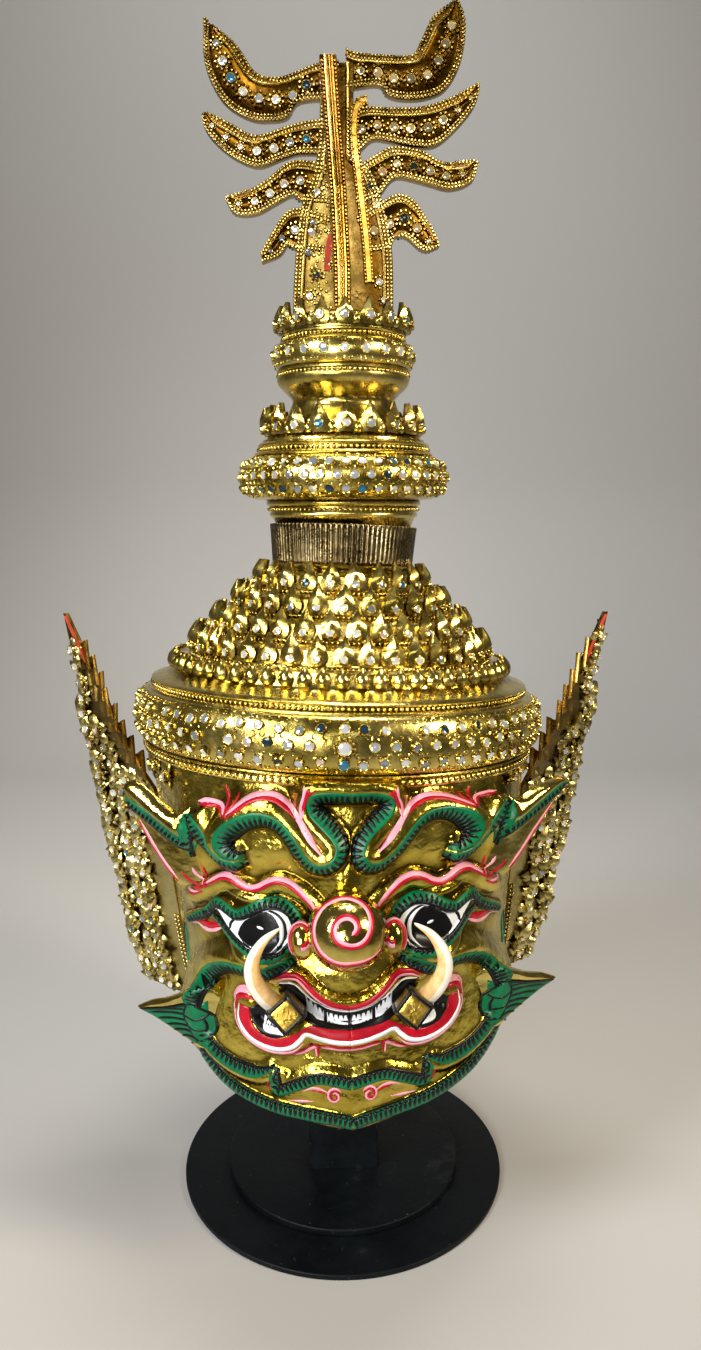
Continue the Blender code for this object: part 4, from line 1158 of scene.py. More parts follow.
BEAD = ringed_shape([(0.80, -0.6), (1.0, 0.1), (0.62, 0.78), (0.18, 1.0)], 6)
SMALL_BEAD = ringed_shape([(0.85, -0.6), (1.0, 0.15), (0.5, 0.9)], 6)
RIM = ringed_shape([(1.0, -0.7), (0.98, 0.12), (0.88, 0.32), (0.76, 0.20), (0.72, -0.7)], 12, lids=False)
GLASS = ringed_shape([(0.80, -0.4), (0.80, 0.12), (0.68, 0.17)], 12)


def petal_shape(half_widths, levels, keels, bow, round_off=1.0):
    """A pointed petal of unit height: a half width and a keel at each level, and a bow outwards."""
    across = np.array([-1.0, -0.62, 0.0, 0.62, 1.0])
    rings = []
    for level, half, keel in zip(levels, half_widths, keels):
        out = bow * sin(pi * min(level * 0.9 + 0.15, 1.0))
        raised = out + 0.06 + keel * (1 - np.abs(across) ** round_off)
        front = np.column_stack([across * half, np.full(5, level), raised])
        back = [(0.72 * half, level, out - 0.12), (-0.72 * half, level, out - 0.12)]
        rings.append(np.vstack([front, back]))
    return closed_form(np.array(rings))


PETAL = petal_shape([0.22, 0.31, 0.34, 0.30, 0.23, 0.12, 0.015], [0.0, 0.12, 0.28, 0.44, 0.60, 0.80, 1.0],
    [0.05, 0.08, 0.08, 0.17, 0.16, 0.10, 0.02], 0.06)
BUD = petal_shape([0.26, 0.38, 0.42, 0.34, 0.20, 0.03], [0.0, 0.16, 0.38, 0.62, 0.82, 1.0],
    [0.18, 0.28, 0.30, 0.26, 0.16, 0.03], 0.10, 2.0)
LEAF = petal_shape([0.14, 0.30, 0.36, 0.30, 0.16, 0.02], [0.0, 0.16, 0.36, 0.58, 0.80, 1.0],
    [0.06, 0.14, 0.18, 0.16, 0.10, 0.02], 0.16)


def curl_shape(turn=4.6, steps=9, columns=5):
    """A small raised scroll: a tube along an arc that closes in on itself and thins."""
    t = np.linspace(0, 1, steps)
    a, r = t * turn, 1.0 - 0.55 * t
    middle = np.column_stack([r * np.cos(a), r * np.sin(a), np.full(steps, 0.15)])
    away = np.column_stack([np.cos(a), np.sin(a), np.zeros(steps)])
    b = (np.arange(columns) * 2 * pi / columns)[None, :, None]
    thick = (0.30 * (1 - 0.6 * np.abs(2 * t - 0.8)))[:, None, None]
    ring = np.cos(b) * away[:, None] + np.sin(b) * np.array((0, 0, 1.0))
    return closed_form(middle[:, None] + thick * ring)


CURL = curl_shape()


def ring_frames(radius, height, count, tilt=0.0, start=0.0):
    """Places round a ring in mm, and frames: along it, up the slope and outwards."""
    phi = start + np.arange(count) * 2 * pi / count
    return around_axis(phi, np.full(count, height * MM), radius * MM), standing_frames(phi, radians(tilt))


def standing_frames(phi, tilt=0.0):
    """Frames that look outwards at some angles: along, up and outwards as columns."""
    along = around_axis(phi + pi / 2, 0 * phi, 1.0)
    out = around_axis(phi, 0 * phi, cos(tilt)) + (0, 0, sin(tilt))
    return np.stack([along, np.cross(out, along), out], -1)


def wobbled(frames, amount):
    """Frames turned by small random angles: I plus K plus half of K squared, for a random axis."""
    x, y, z = dice.normal(0, amount, (3, len(frames)))
    o = np.zeros(len(frames))
    k = np.stack([np.stack([o, -z, y], -1), np.stack([z, o, -x], -1), np.stack([-y, x, o], -1)], -2)
    return frames @ (np.eye(3) + k + k @ k / 2)


def spun(frames, angles):
    """Frames turned about their own outward axis."""
    c, s = np.cos(angles)[:, None], np.sin(angles)[:, None]
    along, up = frames[..., 0], frames[..., 1]
    return np.stack([along * c + up * s, up * c - along * s, frames[..., 2]], -1)


TINTS = np.array([(0.93, 0.95, 0.97), (0.55, 0.60, 0.66), (0.30, 0.34, 0.38), (0.80, 0.68, 0.66),
    (0.06, 0.22, 0.42), (0.03, 0.06, 0.09)])
TINT_SHARES = [0.42, 0.24, 0.13, 0.08, 0.06, 0.07]


class Ornament:
    """Beads, rims and glass gathered for one piece, then made into two meshes."""

    def __init__(self, name, node, finish, place, slot="gilded_paper"):
        self.name, self.node, self.finish, self.place, self.slot = name, node, finish, place, slot
        self.metal, self.shades, self.panes, self.tints = [], [], [], []

    def add(self, shape, places, frames, sizes, cast=(1, 1, 1)):
        """Copies of a shape, posed with the piece. One frame may serve for all the places."""
        base, turned_frames = self.place(places, np.broadcast_to(frames, (len(places), 3, 3)))
        self.put(shape, turned_frames, base, sizes, cast)

    def put(self, shape, frames, places, sizes, cast=(1, 1, 1)):
        """Copies of a shape, each darkened at its root by painted shade and bright at its top."""
        self.metal.append(scatter(shape, frames, places, np.broadcast_to(sizes, len(places))))
        out = shape[0][:, 2]
        low = max(out.min(), -0.1)
        light = smooth((out - low) / (0.75 * (out.max() - low)))
        self.shades.append(np.tile(toned(light) * cast, (len(places), 1)))

    def curls(self, places, frames, size, most=1.15):
        """Small scrolls, each turned at random and a little larger or smaller."""
        count = len(places)
        turned_frames = spun(frames, dice.uniform(0, 2 * pi, count))
        self.add(CURL, places, turned_frames, dice.uniform(0.8, most, count) * size)

    def mirror(self, places, frames, radius, wobble=0.10, tint=None, granules=0, ring=(1.12, 0.26),
            cast=(1, 1, 1)):
        """Round mirrors in raised rims, each tilted a little on its own, some with a ring of granules."""
        count = len(places)
        base, frames = self.place(places, wobbled(np.broadcast_to(frames, (count, 3, 3)), wobble))
        sizes = np.broadcast_to(radius, count)
        self.put(RIM, frames, base, sizes)
        self.panes.append(scatter(GLASS, frames, base, sizes))
        tones = TINTS[dice.choice(len(TINTS), count, p=TINT_SHARES)]
        tones = tones * dice.uniform(0.85, 1.0, (count, 1)) if tint is None else np.tile(tint, (count, 1))
        self.tints.append(np.repeat(tones * cast, len(GLASS[0]), axis=0))
        for a in 2 * pi * np.arange(granules) / max(granules, 1):
            spot = base + (frames[..., 0] * cos(a) + frames[..., 1] * sin(a)) * (sizes * ring[0])[:, None]
            self.put(SMALL_BEAD, frames, spot, sizes * ring[1])

    def cluster(self, places, frames, size, glass_size=0.0029):
        """Flame leaves round a mirror: a long one that points up and five short ones round it."""
        count = len(places)
        base = places + frames[..., 1] * size * 0.10
        self.add(LEAF, base, wobbled(frames, 0.12), dice.uniform(0.9, 1.1, count) * size)
        for angle, share in ((-1.9, 0.50), (-1.1, 0.62), (1.1, 0.62), (1.9, 0.50), (3.1, 0.42)):
            spokes = spun(frames, np.full(count, angle) + dice.normal(0, 0.2, count))
            base = places + spokes[..., 1] * 0.0012 + frames[..., 2] * 0.0006
            self.add(LEAF, base, wobbled(spokes, 0.22), dice.uniform(0.85, 1.15, count) * share * size)
        self.mirror(places + frames[..., 2] * 0.0036 + frames[..., 1] * 0.0006, frames, glass_size, 0.14)

    def finish_up(self):
        """Make the metal and the glass."""
        shades, tints = np.vstack(self.shades), np.vstack(self.tints)
        make_piece(self.name + "_beadwork", self.node, joined(self.metal), [self.finish],
            sharp=50, colours=shades)
        make_piece(self.name + "_mirrors", self.node, joined(self.panes), [glass], sharp=30,
            colours=tints)


def posed_with_head(places, frames):
    """Places and frames of the crown, posed with the head."""
    return pose_head(places), posed_frames(places, frames)


# %% [markdown]
# The crown
#
# Its profile goes from the collar down the steps and round the big torus, and back up inside
# to the ceiling that rests on the post, so the turned form is closed. The torus is half an
# ellipse. The rest stands on it: two rows of beads, a ring of buds and four rings of petals.

# %% Crown
TORUS = ((114.2, 304.75), (7.5, 15.25))
TIER_LOW = np.array((86.9, 345))
TIER_HIGH = np.array((48.6, 383.3))
TIER_PETALS = (41, 34, 28, 23)
TIER_STEP = [(2.6, -5.2), (3, -4.6), (2.6, -3.6), (1.2, -3), (0.4, 4), (-3, 6.2), (-7.5, 6.6)]
FLUTES = 88


def on_ellipse(ellipse, angle, grow=0.0):
    """The point of an ellipse, a middle and its reach, at an angle in degrees from its outermost point."""
    middle, reach = ellipse
    a = radians(angle)
    return middle[0] + (reach[0] + grow) * cos(a), middle[1] + (reach[1] + grow) * sin(a)


def half_ellipse(ellipse, low, high, steps):
    """Points of an ellipse between two angles in degrees."""
    return [on_ellipse(ellipse, angle) for angle in np.linspace(low, high, steps)]


def groove_light(profile, reach=3.5, depth=1.1):
    """How bright the painted shade leaves each point of a profile: darker the deeper it lies under its
    smoothed neighbours.

    The profile runs upwards. Its neighbours count by a bell curve over the way along it.
    """
    p = np.array(profile)
    length = way_along(p)
    weight = np.exp(-((length[:, None] - length[None, :]) / reach) ** 2)
    weight *= np.gradient(length)[None, :]
    mean = weight @ p / weight.sum(axis=1, keepdims=True)
    run = np.gradient(p, axis=0)
    out = np.stack([run[:, 1], -run[:, 0]], 1) / (np.linalg.norm(run, axis=1, keepdims=True) + 1e-6)
    hollow = ((mean - p) * out).sum(axis=1)
    return 1 - 0.9 * np.clip(hollow / depth, 0, 1)


def tier_places():
    """Radius and height of each ring of petals."""
    return TIER_LOW + (TIER_HIGH - TIER_LOW) * np.linspace(0, 1, len(TIER_PETALS))[:, None]


def make_crown():
    """The turned form, outside and inside."""
    outer = [(115.2, 283.6), (116.8, 283.8), (117.2, 284.6), (116.4, 285.3), (116, 287.6), (116.8, 288.4),
        (117.2, 289), (116.8, 289.6)]
    outer += half_ellipse(TORUS, -86, 84, 24)
    outer += [(114.8, 320), (114.6, 321), (113.4, 321.6), (112.4, 321.8), (112.2, 324), (113, 324.4),
        (113.2, 325.2), (112.2, 326.1), (109, 327.2), (105, 328.8), (101.2, 330.6), (100.4, 331.8),
        (100, 333), (99.2, 339), (96, 340.4), (92.5, 340.2)]
    for radius, z in tier_places():
        outer += [(radius + away, z + up) for away, up in TIER_STEP]
    outer += [(41.2, 391), (43.2, 392.2), (43.4, 393.2), (42.4, 394.2), (40.8, 395), (40.8, 415)]
    inner = [(109.5, 283.6), (109.6, 290), (107, 316), (80, 338), (50, 368)]
    profile = outer[::-1] + inner
    columns = 204
    form = closed_form(pose_head(turned_rings(profile, columns)))
    which = np.append(np.repeat([0] * len(outer) + [1] * (len(inner) - 1), columns), [0, 1])
    # Painted shade in the grooves of the outer profile; the inside is left untouched.
    light = np.concatenate([groove_light(outer)[::-1], np.ones(len(inner))])
    make_piece("crown_form", "mask_head", form, [gold_crown, red_back], which=which, sharp=50,
        colours=toned(np.repeat(light, columns)))


def make_collar():
    """The fluted collar: narrow grooves, each a bell curve across a flute's width."""
    def wave(angles, row):
        nearest = np.abs(((angles * FLUTES / (2 * pi)) + 0.5) % 1.0 - 0.5)
        depth = 0.0012 * (1 + 0.25 * np.sin(angles * 7 + 1) + 0.2 * np.sin(angles * 13))
        return -depth * np.exp(-(nearest / 0.17) ** 2) * ((row > 0) & (row < 6))

    profile = [(42.4, 394.6), (42.4, 395.8), (42.8, 401), (43.4, 408), (44, 414), (44.3, 416.4),
        (44.1, 417.1), (39.5, 417.1), (39.5, 394.6)]
    rings = turned_rings(profile, FLUTES * 8, wave)
    make_piece("crown_collar", "mask_head", closed_form(pose_head(rings), lids=False), [gold_aged_shaded], sharp=0)


def dress_crown():
    """Beads, mirrors, buds and petals on the crown."""
    work = Ornament("crown", "mask_head", gold_crown, posed_with_head)
    work.add(BEAD, *ring_frames(116.4, 286.5, 185, -8), 0.0015)
    work.add(BEAD, *ring_frames(112.4, 322.9, 236, 10), 0.0013)
    for angle, start in ((36, 0.0), (3, 0.5), (-32, 0.0)):
        radius, z = on_ellipse(TORUS, angle)
        places, frames = ring_frames(radius + 0.8, z, 71, angle * 0.75, start * 2 * pi / 71)
        keep = (dice.random(71) > 0.06) & (np.abs(places[:, 0]) + 1000 * (places[:, 1] > 0) > 0.006)
        places[:, 2] += dice.uniform(-0.0010, 0.0010, 71)
        work.mirror(places[keep], frames[keep], dice.uniform(0.0028, 0.0032, keep.sum()), 0.12)
    for angle, count, size in ((58, 150, 0.0016), (20, 142, 0.0017), (-15, 142, 0.0017),
            (-50, 150, 0.0016)):
        work.curls(*ring_frames(*on_ellipse(TORUS, angle), count, angle * 0.75, 0.02), size)
    places, frames = ring_frames(99.8, 331.8, 63, 8)
    work.add(BUD, places, wobbled(frames, 0.05), dice.uniform(0.0100, 0.0108, 63))
    for (radius, z), count, shift in zip(tier_places(), TIER_PETALS, (0.0, 0.5, 0.0, 0.5)):
        work.add(BEAD, *ring_frames(radius + 3.2, z - 5, count * 5, 20), 0.0010)
        places, frames = ring_frames(radius + 2, z - 3.8, count, 9, shift * 2 * pi / count)
        frames = wobbled(frames, 0.05)
        work.add(PETAL, places, frames, dice.uniform(0.0164, 0.0178, count))
        work.mirror(places + frames[..., 1] * 0.0036 + frames[..., 2] * 0.0036, frames, 0.0026, 0.12)
    for z, radius, size, tint in ((305.2, 124.6, 0.0042, (0.95, 0.96, 1.0)),
            (314.8, 122.6, 0.0030, (0.9, 0.9, 0.95)), (296.5, 122.6, 0.0032, (0.08, 0.26, 0.45))):
        places, frames = ring_frames(radius, z, 1, 0.0, radians(0.5))
        work.mirror(places, frames, size, 0.0, tint=tint, granules=12 if size > 0.004 else 0)
    phi = np.radians([-70, -63, -56, 56, 63, 70])
    level = np.array([0.2775, 0.2795, 0.2765, 0.2765, 0.2795, 0.2775])
    frames = spun(standing_frames(phi), np.sign(phi) * -0.5)
    work.cluster(around_axis(phi, level, face_radius(phi, level)), frames, 0.0095, 0.0026)
    work.finish_up()


make_crown()
make_collar()
dress_crown()

# %% [markdown]
# The spire
#
# The upper crown is one turned piece on the collar: a ribbed foot, a torus with three rows of
# mirrors, a ring of petals, a smooth bowl, a rounded band and a second ring of petals. It
# stands upright, and only its lowest ring follows the tilted top of the collar.

# %% Spire
SPIRE_TORUS = ((50, 444.8), (11.2, 12.5))
SPIRE_BAND = ((37.5, 513.7), (3.7, 7))


def height_on_crown(level, x, y):
    """Height over the ground of the crown's tilted plane at a level."""
    a, b, c = pose_head(np.array([(0, 0, level), (1, 0, level), (0, 1, level)]))
    normal = np.cross(b - a, c - a)
    return a[2] - ((x - a[0]) * normal[0] + (y - a[1]) * normal[1]) / normal[2]


def posed_with_spire(places, frames):
    """Places and frames of the spire, moved to the middle of the collar."""
    return places + (spire_shift[0], spire_shift[1], 0.0), frames


def make_spire():
    """The turned spire, closed above and below."""
    profile = [(40.5, 418), (42.8, 421.8), (44.2, 422.6), (44.6, 423.6), (44, 424.6), (44.2, 425.2),
        (44.2, 428.4), (45.6, 429), (46.3, 430), (46.3, 430.8), (45.6, 431.8), (47.6, 432.4)]
    profile += half_ellipse(SPIRE_TORUS, -78, 80, 22)
    profile += [(52.7, 457.5), (53, 458.4), (52.2, 459.4), (50, 460), (50, 462.2), (50.8, 462.8),
        (50.9, 463.7), (50, 464.6), (48.2, 465.4), (48, 466.4), (45.6, 467.6), (43.6, 469), (43, 476),
        (39.5, 477.5), (34, 480), (30, 485), (29.5, 488), (30.3, 490.3), (33, 493), (36.2, 496),
        (38.2, 498.5), (39, 501), (38.9, 502), (38, 502.4), (38, 504.2), (39.1, 504.7), (39.2, 505.6),
        (38.4, 506.4)]
    profile += half_ellipse(SPIRE_BAND, -80, 80, 14)
    profile += [(37.2, 521), (37.4, 521.7), (36.2, 522.2), (35.2, 522.6), (35.2, 524.3), (36.4, 524.8),
        (36.5, 525.6), (35.6, 526.3), (35.6, 528.2), (36.2, 529), (36, 533.5), (33.5, 535)]
    columns = 160
    rings = turned_rings(profile, columns) + (spire_shift[0], spire_shift[1], 0)
    rings[0, :, 2] = height_on_crown(COLLAR_TOP + FIT_GAP, rings[0, :, 0], rings[0, :, 1])
    # Painted shade in the grooves of the profile.
    make_piece("spire_form", "crown_spire", closed_form(rings), [gold_crown], sharp=50,
        colours=toned(np.repeat(groove_light(profile), columns)))


def dress_spire():
    """Beads, mirrors and petals on the spire."""
    work = Ornament("spire", "crown_spire", gold_crown, posed_with_spire)
    for radius, z, count, size in ((44.4, 426.8, 96, 0.0014), (50.2, 461.1, 100, 0.0014),
            (38.1, 503.3, 84, 0.0013), (35.3, 523.4, 80, 0.0013)):
        work.add(BEAD, *ring_frames(radius, z, count), size)
    for angle, start in ((36, 0.0), (3, 0.5), (-31, 0.0)):
        ring = ring_frames(*on_ellipse(SPIRE_TORUS, angle, 0.6), 42, angle, start * 2 * pi / 42)
        work.mirror(*ring, dice.uniform(0.0027, 0.0032, 42), 0.12)
    for angle, count in ((62, 64), (19, 80), (-15, 80), (-52, 70)):
        work.curls(*ring_frames(*on_ellipse(SPIRE_TORUS, angle), count, angle, 0.02), 0.0016)
    work.mirror(*ring_frames(41.4, 514, 22), 0.0031, 0.10)
    for lift in (-4.6, 4.6):
        work.curls(*ring_frames(40.2, 513.7 + lift, 58, 0.0, 0.3), 0.0015, 1.1)
    for radius, z, count, height in ((44, 469, 20, 0.0172), (36.6, 527.2, 18, 0.0146)):
        places, frames = ring_frames(radius, z, count)
        frames = wobbled(frames, 0.05)
        work.add(PETAL, places, frames, height)
        work.mirror(places + frames[..., 1] * 0.0044 + frames[..., 2] * 0.0038, frames, 0.0029, 0.12)
        work.add(BUD, *ring_frames(radius + 0.4, z, count, 0.0, pi / count), 0.0062)
    work.finish_up()


make_spire()
dress_spire()

# %% [markdown]
# The finial
#
# Four curling feathers grow to each side of a trunk that is itself two crossed plates. A
# feather runs from its root to its tip between an upper and a lower edge. Across it, from
# each edge inwards, lie two chains of beads on a dark ground, on the upper side a smooth
# fillet, and then a sunk middle with a row of mirrors in dotted rings. The tables give those
# lines as distance from the edge, height and light; the light is painted shade, darkest on
# the ground and in the sunk middle.

# %% Finial
RIGHT_FEATHERS = [
    ([(2, 679), (7, 677), (23, 676), (38, 676), (43, 683), (49, 694), (60, 702.4)],
     [(2, 658), (20, 660), (25, 655), (34, 653), (47, 654), (58, 659), (66, 673), (68, 692), (64, 704.4)]),
    ([(3, 643), (10, 649), (29, 649), (46, 650), (61, 655), (74, 661)],
     [(6, 622), (12, 628), (19, 632), (38, 629), (52, 629), (64, 638), (74, 650), (77, 661)]),
    ([(6, 617), (14, 622), (21, 626), (29, 629), (44, 627), (57, 621), (73, 622)],
     [(8, 598), (20, 602), (27, 610), (33, 612), (47, 609), (61, 606), (73, 610), (77, 620)]),
    ([(8, 592), (22, 600), (32, 604), (41, 600), (49, 589), (54, 579)],
     [(12, 572), (26, 574), (30, 580), (36, 580), (46, 573), (55, 575)]),
]
LEFT_FEATHERS = [
    ([(3, 673), (15, 671), (35, 664), (48, 666), (58, 679), (68, 687)],
     [(3, 653), (24, 651), (31, 643), (40, 641), (52, 642), (65, 649), (73, 660), (77, 673), (77, 693)]),
    ([(3, 643), (18, 642), (31, 639), (49, 634), (63, 640), (75, 645)],
     [(3, 624), (24, 624), (35, 621), (47, 617), (58, 620), (69, 627), (77, 636), (79, 644)]),
    ([(6, 618), (20, 621), (31, 620), (43, 611), (54, 605), (64, 602)],
     [(8, 598), (22, 599), (28, 602), (37, 598), (49, 592), (61, 592), (67, 600)]),
    ([(8, 592), (25, 596), (33, 593), (40, 584), (47, 572)],
     [(12, 572), (27, 574), (31, 576), (36, 570), (46, 566)]),
]
TRUNK_RIGHT = [(29, 536), (29, 546), (28, 574), (23, 598), (16, 615), (7, 622), (6, 640), (6, 674)]
TRUNK_LEFT = [(29, 536), (29, 546), (27, 574), (24, 596), (18, 610), (14, 628), (13, 650), (13, 672)]
TRUNK_RIB = [(536, 29), (546, 29), (574, 27), (600, 22), (625, 17), (650, 14), (675, 12)]
RIB_LINE = [(536, -1.0), (560, -1.2), (600, -3.2), (640, -6.2), (673, -8.6)]
FIN_HALF = 3.7
RIB_HALF = 4.7
UPPER_LINES = np.array([(0, -1.3, 0.25), (0.4, -0.1, 0.6), (1.2, 0.05, 0.12), (2.15, -0.15, 0.02),
    (3.1, 0.05, 0.12), (3.8, -0.05, 0.05), (4.2, 0.45, 0.85), (4.8, 0.75, 1.0), (5.3, 0.4, 0.8),
    (5.6, -1.0, 0.0), (6.6, -1.6, 0.0)])
LOWER_LINES = np.array([(0, -1.3, 0.25), (0.4, -0.1, 0.5), (1.2, 0.05, 0.12), (2.05, -0.1, 0.02),
    (2.9, 0.05, 0.12), (3.6, -0.1, 0.1), (4.0, -1.2, 0.0), (5.0, -1.6, 0.0)])
TRUNK_LINES = np.array([(0, -1.0, 0.25), (0.4, -0.1, 0.5), (1.2, 0.05, 0.12), (2.2, -0.15, 0.02),
    (3.2, 0.05, 0.12), (4.0, -0.1, 0.05), (4.5, 0.2, 0.5), (5.2, 0.4, 0.6), (5.9, 0.1, 0.4),
    (6.4, -0.7, 0.1), (9.0, -0.8, 0.2), (12.5, -0.9, 0.2)])


def both_halves(rows, shared):
    """Lines from the left edge to the middle, and again from there to the right edge, less a shared one."""
    rows = np.array(rows)
    return np.vstack([rows, rows[::-1][shared:] * (-1, 1, 1)])


RIB_LINES = both_halves([(-1, -1.4, 0.2), (-0.88, 0.0, 0.3), (-0.60, -0.2, 0.02), (-0.50, 0.35, 0.8),
    (-0.36, 0.6, 0.9), (-0.27, 0.1, 0.1), (-0.20, 0.3, 0.7), (-0.09, 0.2, 0.3), (0, -0.4, 0)], 1)
STRAP_LINES = both_halves([(-1, -1.6, 0.1), (-0.86, 0.4, 0.3), (-0.55, 0.3, 0.05), (-0.42, 0.8, 1)], 0)
STRAP_PATH = [(13, 652), (8.5, 650), (6.2, 641), (7.0, 626), (10.2, 602), (13.5, 576), (15.0, 556)]
STRAP_HALF = 2.9
TRUNK_MIRRORS = [(-15.5, 560), (-19.5, 548), (-20, 572), (-17, 588), (-15, 604), (15.5, 607), (19, 598),
    (21, 556), (24, 546)]
TRUNK_GRANULES = 90
RED_PATCH = [(-6.5, 582), (-8.6, 574), (-9.4, 562)]
ORANGE_CAST = np.array((0.86, 0.64, 0.38))
WARM_REFLECTION_CAST = np.array((0.80, 0.64, 0.38))


def standing(points_xz, y):
    """Places in the finial's own frame from (x, z) in mm and y in mm, moved to its foot."""
    points_xz = np.asarray(points_xz, float)
    y = np.broadcast_to(y, points_xz.shape[:-1]) * MM + spire_shift[1]
    return np.stack([points_xz[..., 0] * MM + spire_shift[0], y, points_xz[..., 1] * MM], -1)


def two_faced(flat, half, light, cast=1.0):
    """A form of rings, the same in front and behind, and its tints."""
    light = np.broadcast_to(light, flat.shape[:2])
    rings = np.concatenate([standing(flat, -half), standing(flat, half)[:, ::-1]], axis=1)
    return closed_form(rings), toned(np.concatenate([light, light[:, ::-1]], axis=1).ravel()) * cast


def strip_of(path, offsets):
    """A grid of places to the left of a path, by offsets in mm."""
    return path[:, None] + path_sides(path)[:, None] * np.array(offsets)[None, :, None]


def feather_body(upper, lower, side):
    """One feather from root to tip; its lines squeeze together where it is narrow."""
    high, low = resampled(upper, 46) * (side, 1), resampled(lower, 46) * (side, 1)
    width = np.linalg.norm(high - low, axis=1)[:, None]
    squeeze = np.minimum(1, width / (UPPER_LINES[-1, 0] + LOWER_LINES[-1, 0] + 0.8))
    from_high, from_low = UPPER_LINES[:, 0] * squeeze, LOWER_LINES[::-1, 0] * squeeze
    place = np.concatenate([from_high, width - from_low], axis=1) / width
    flat = high[:, None] + (low - high)[:, None] * place[..., None]
    lines = np.vstack([UPPER_LINES, LOWER_LINES[::-1]])
    return two_faced(flat, FIN_HALF - 0.5 + lines[:, 1] * np.sqrt(squeeze), lines[:, 2])


def facing(face):
    """A frame that looks to the front (-1) or the back (1): right, up and outwards as columns."""
    return np.array([(-face, 0.0, 0.0), (0.0, 0.0, face), (0.0, 1.0, 0.0)])


def edge_beads(edge, inner, side, inset):
    """Places of beads along an edge, a little inside it, and their frames, on both faces."""
    path, towards = even_path(edge, 2.05) * (side, 1), even_path(inner, 2.05 * 0.7) * (side, 1)
    gap = np.linalg.norm(path[:, None] - towards[None], axis=2)
    aim = towards[gap.argmin(axis=1)] - path
    size = np.linalg.norm(aim, axis=1)
    keep = size > inset * 2.2
    spot = path[keep] + aim[keep] / size[keep, None] * inset
    places = np.vstack([standing(spot, face * (FIN_HALF - 0.45)) for face in (-1, 1)])
    return places, np.repeat([facing(-1), facing(1)], len(spot), axis=0)


def unposed(places, frames):
    """Places that are already in the scene's own place."""
    return places, frames


def dress_feather(work, upper, lower, side):
    """Two chains of beads along each border and a row of mirrors in rings below the fillet."""
    for edge, other, insets in ((upper, lower, (1.2, 3.1)), (lower, upper, (1.2, 2.9))):
        for inset in insets:
            work.add(SMALL_BEAD, *edge_beads(edge, other, side, inset), 0.00092)
    high, low = resampled(upper, 60), resampled(lower, 60)
    width = np.linalg.norm(high - low, axis=1)
    middle = high + (low - high) * (0.5 + 1.0 / np.maximum(width, 8))[:, None]
    marks = np.arange(8.0, way_along(middle)[-1] - 5.5, 9.6)
    spots = at_lengths(middle, marks) * (side, 1)
    sizes = np.clip((np.interp(marks, way_along(middle), width) - 9.0) / 3.5, 1.5, 2.9) * MM
    # Painted reflection: the mirrors of the right-hand feathers, on the side of the warm light, are tinted
    # amber.
    cast = WARM_REFLECTION_CAST if side > 0 else (1, 1, 1)
    for face in (-1, 1):
        places = standing(spots, face * (FIN_HALF - 1.2))
        work.mirror(places, facing(face), sizes, 0.12, granules=9, ring=(1.38, 0.37), cast=cast)


def make_trunk():
    """Two crossed plates: a broad one with chained edges, and a narrow one that shows its edge in front."""
    levels = np.linspace(536, 671.5, 60)
    right, left = (np.interp(levels, *spline(p, 8).T[::-1])[:, None] for p in (TRUNK_RIGHT, TRUNK_LEFT))
    squeeze = np.minimum(1, (right + left) / 2 / (TRUNK_LINES[-1, 0] + 0.5))
    x = np.concatenate([TRUNK_LINES[:, 0] * squeeze - left, right - TRUNK_LINES[::-1, 0] * squeeze], axis=1)
    lines = np.vstack([TRUNK_LINES, TRUNK_LINES[::-1]])
    half = len(TRUNK_LINES)
    # Painted light and shade across the plate's middle: half lit on its left side, dark on its right.
    lines[half - 2:half, 2] = 0.55
    lines[half:half + 2, 2] = 0.0
    flat = np.stack([x, np.repeat(levels[:, None], len(lines), 1)], -1)
    plate = two_faced(flat, FIN_HALF - 0.5 + lines[:, 1], lines[:, 2], 0.60)
    x = read_table(levels, RIB_LINE)[:, None] + RIB_LINES[:, 0] * RIB_HALF
    flat = np.stack([x, np.repeat(levels[:, None], len(RIB_LINES), 1)], -1)
    edge = read_table(levels, TRUNK_RIB)[:, None]
    rib = two_faced(flat, edge + RIB_LINES[:, 1] - 0.3, RIB_LINES[:, 2], ORANGE_CAST)
    flat = strip_of(resampled(STRAP_PATH, 40), STRAP_LINES[:, 0] * STRAP_HALF)
    return [plate, rib, two_faced(flat, FIN_HALF + STRAP_LINES[:, 1], STRAP_LINES[:, 2], ORANGE_CAST)]


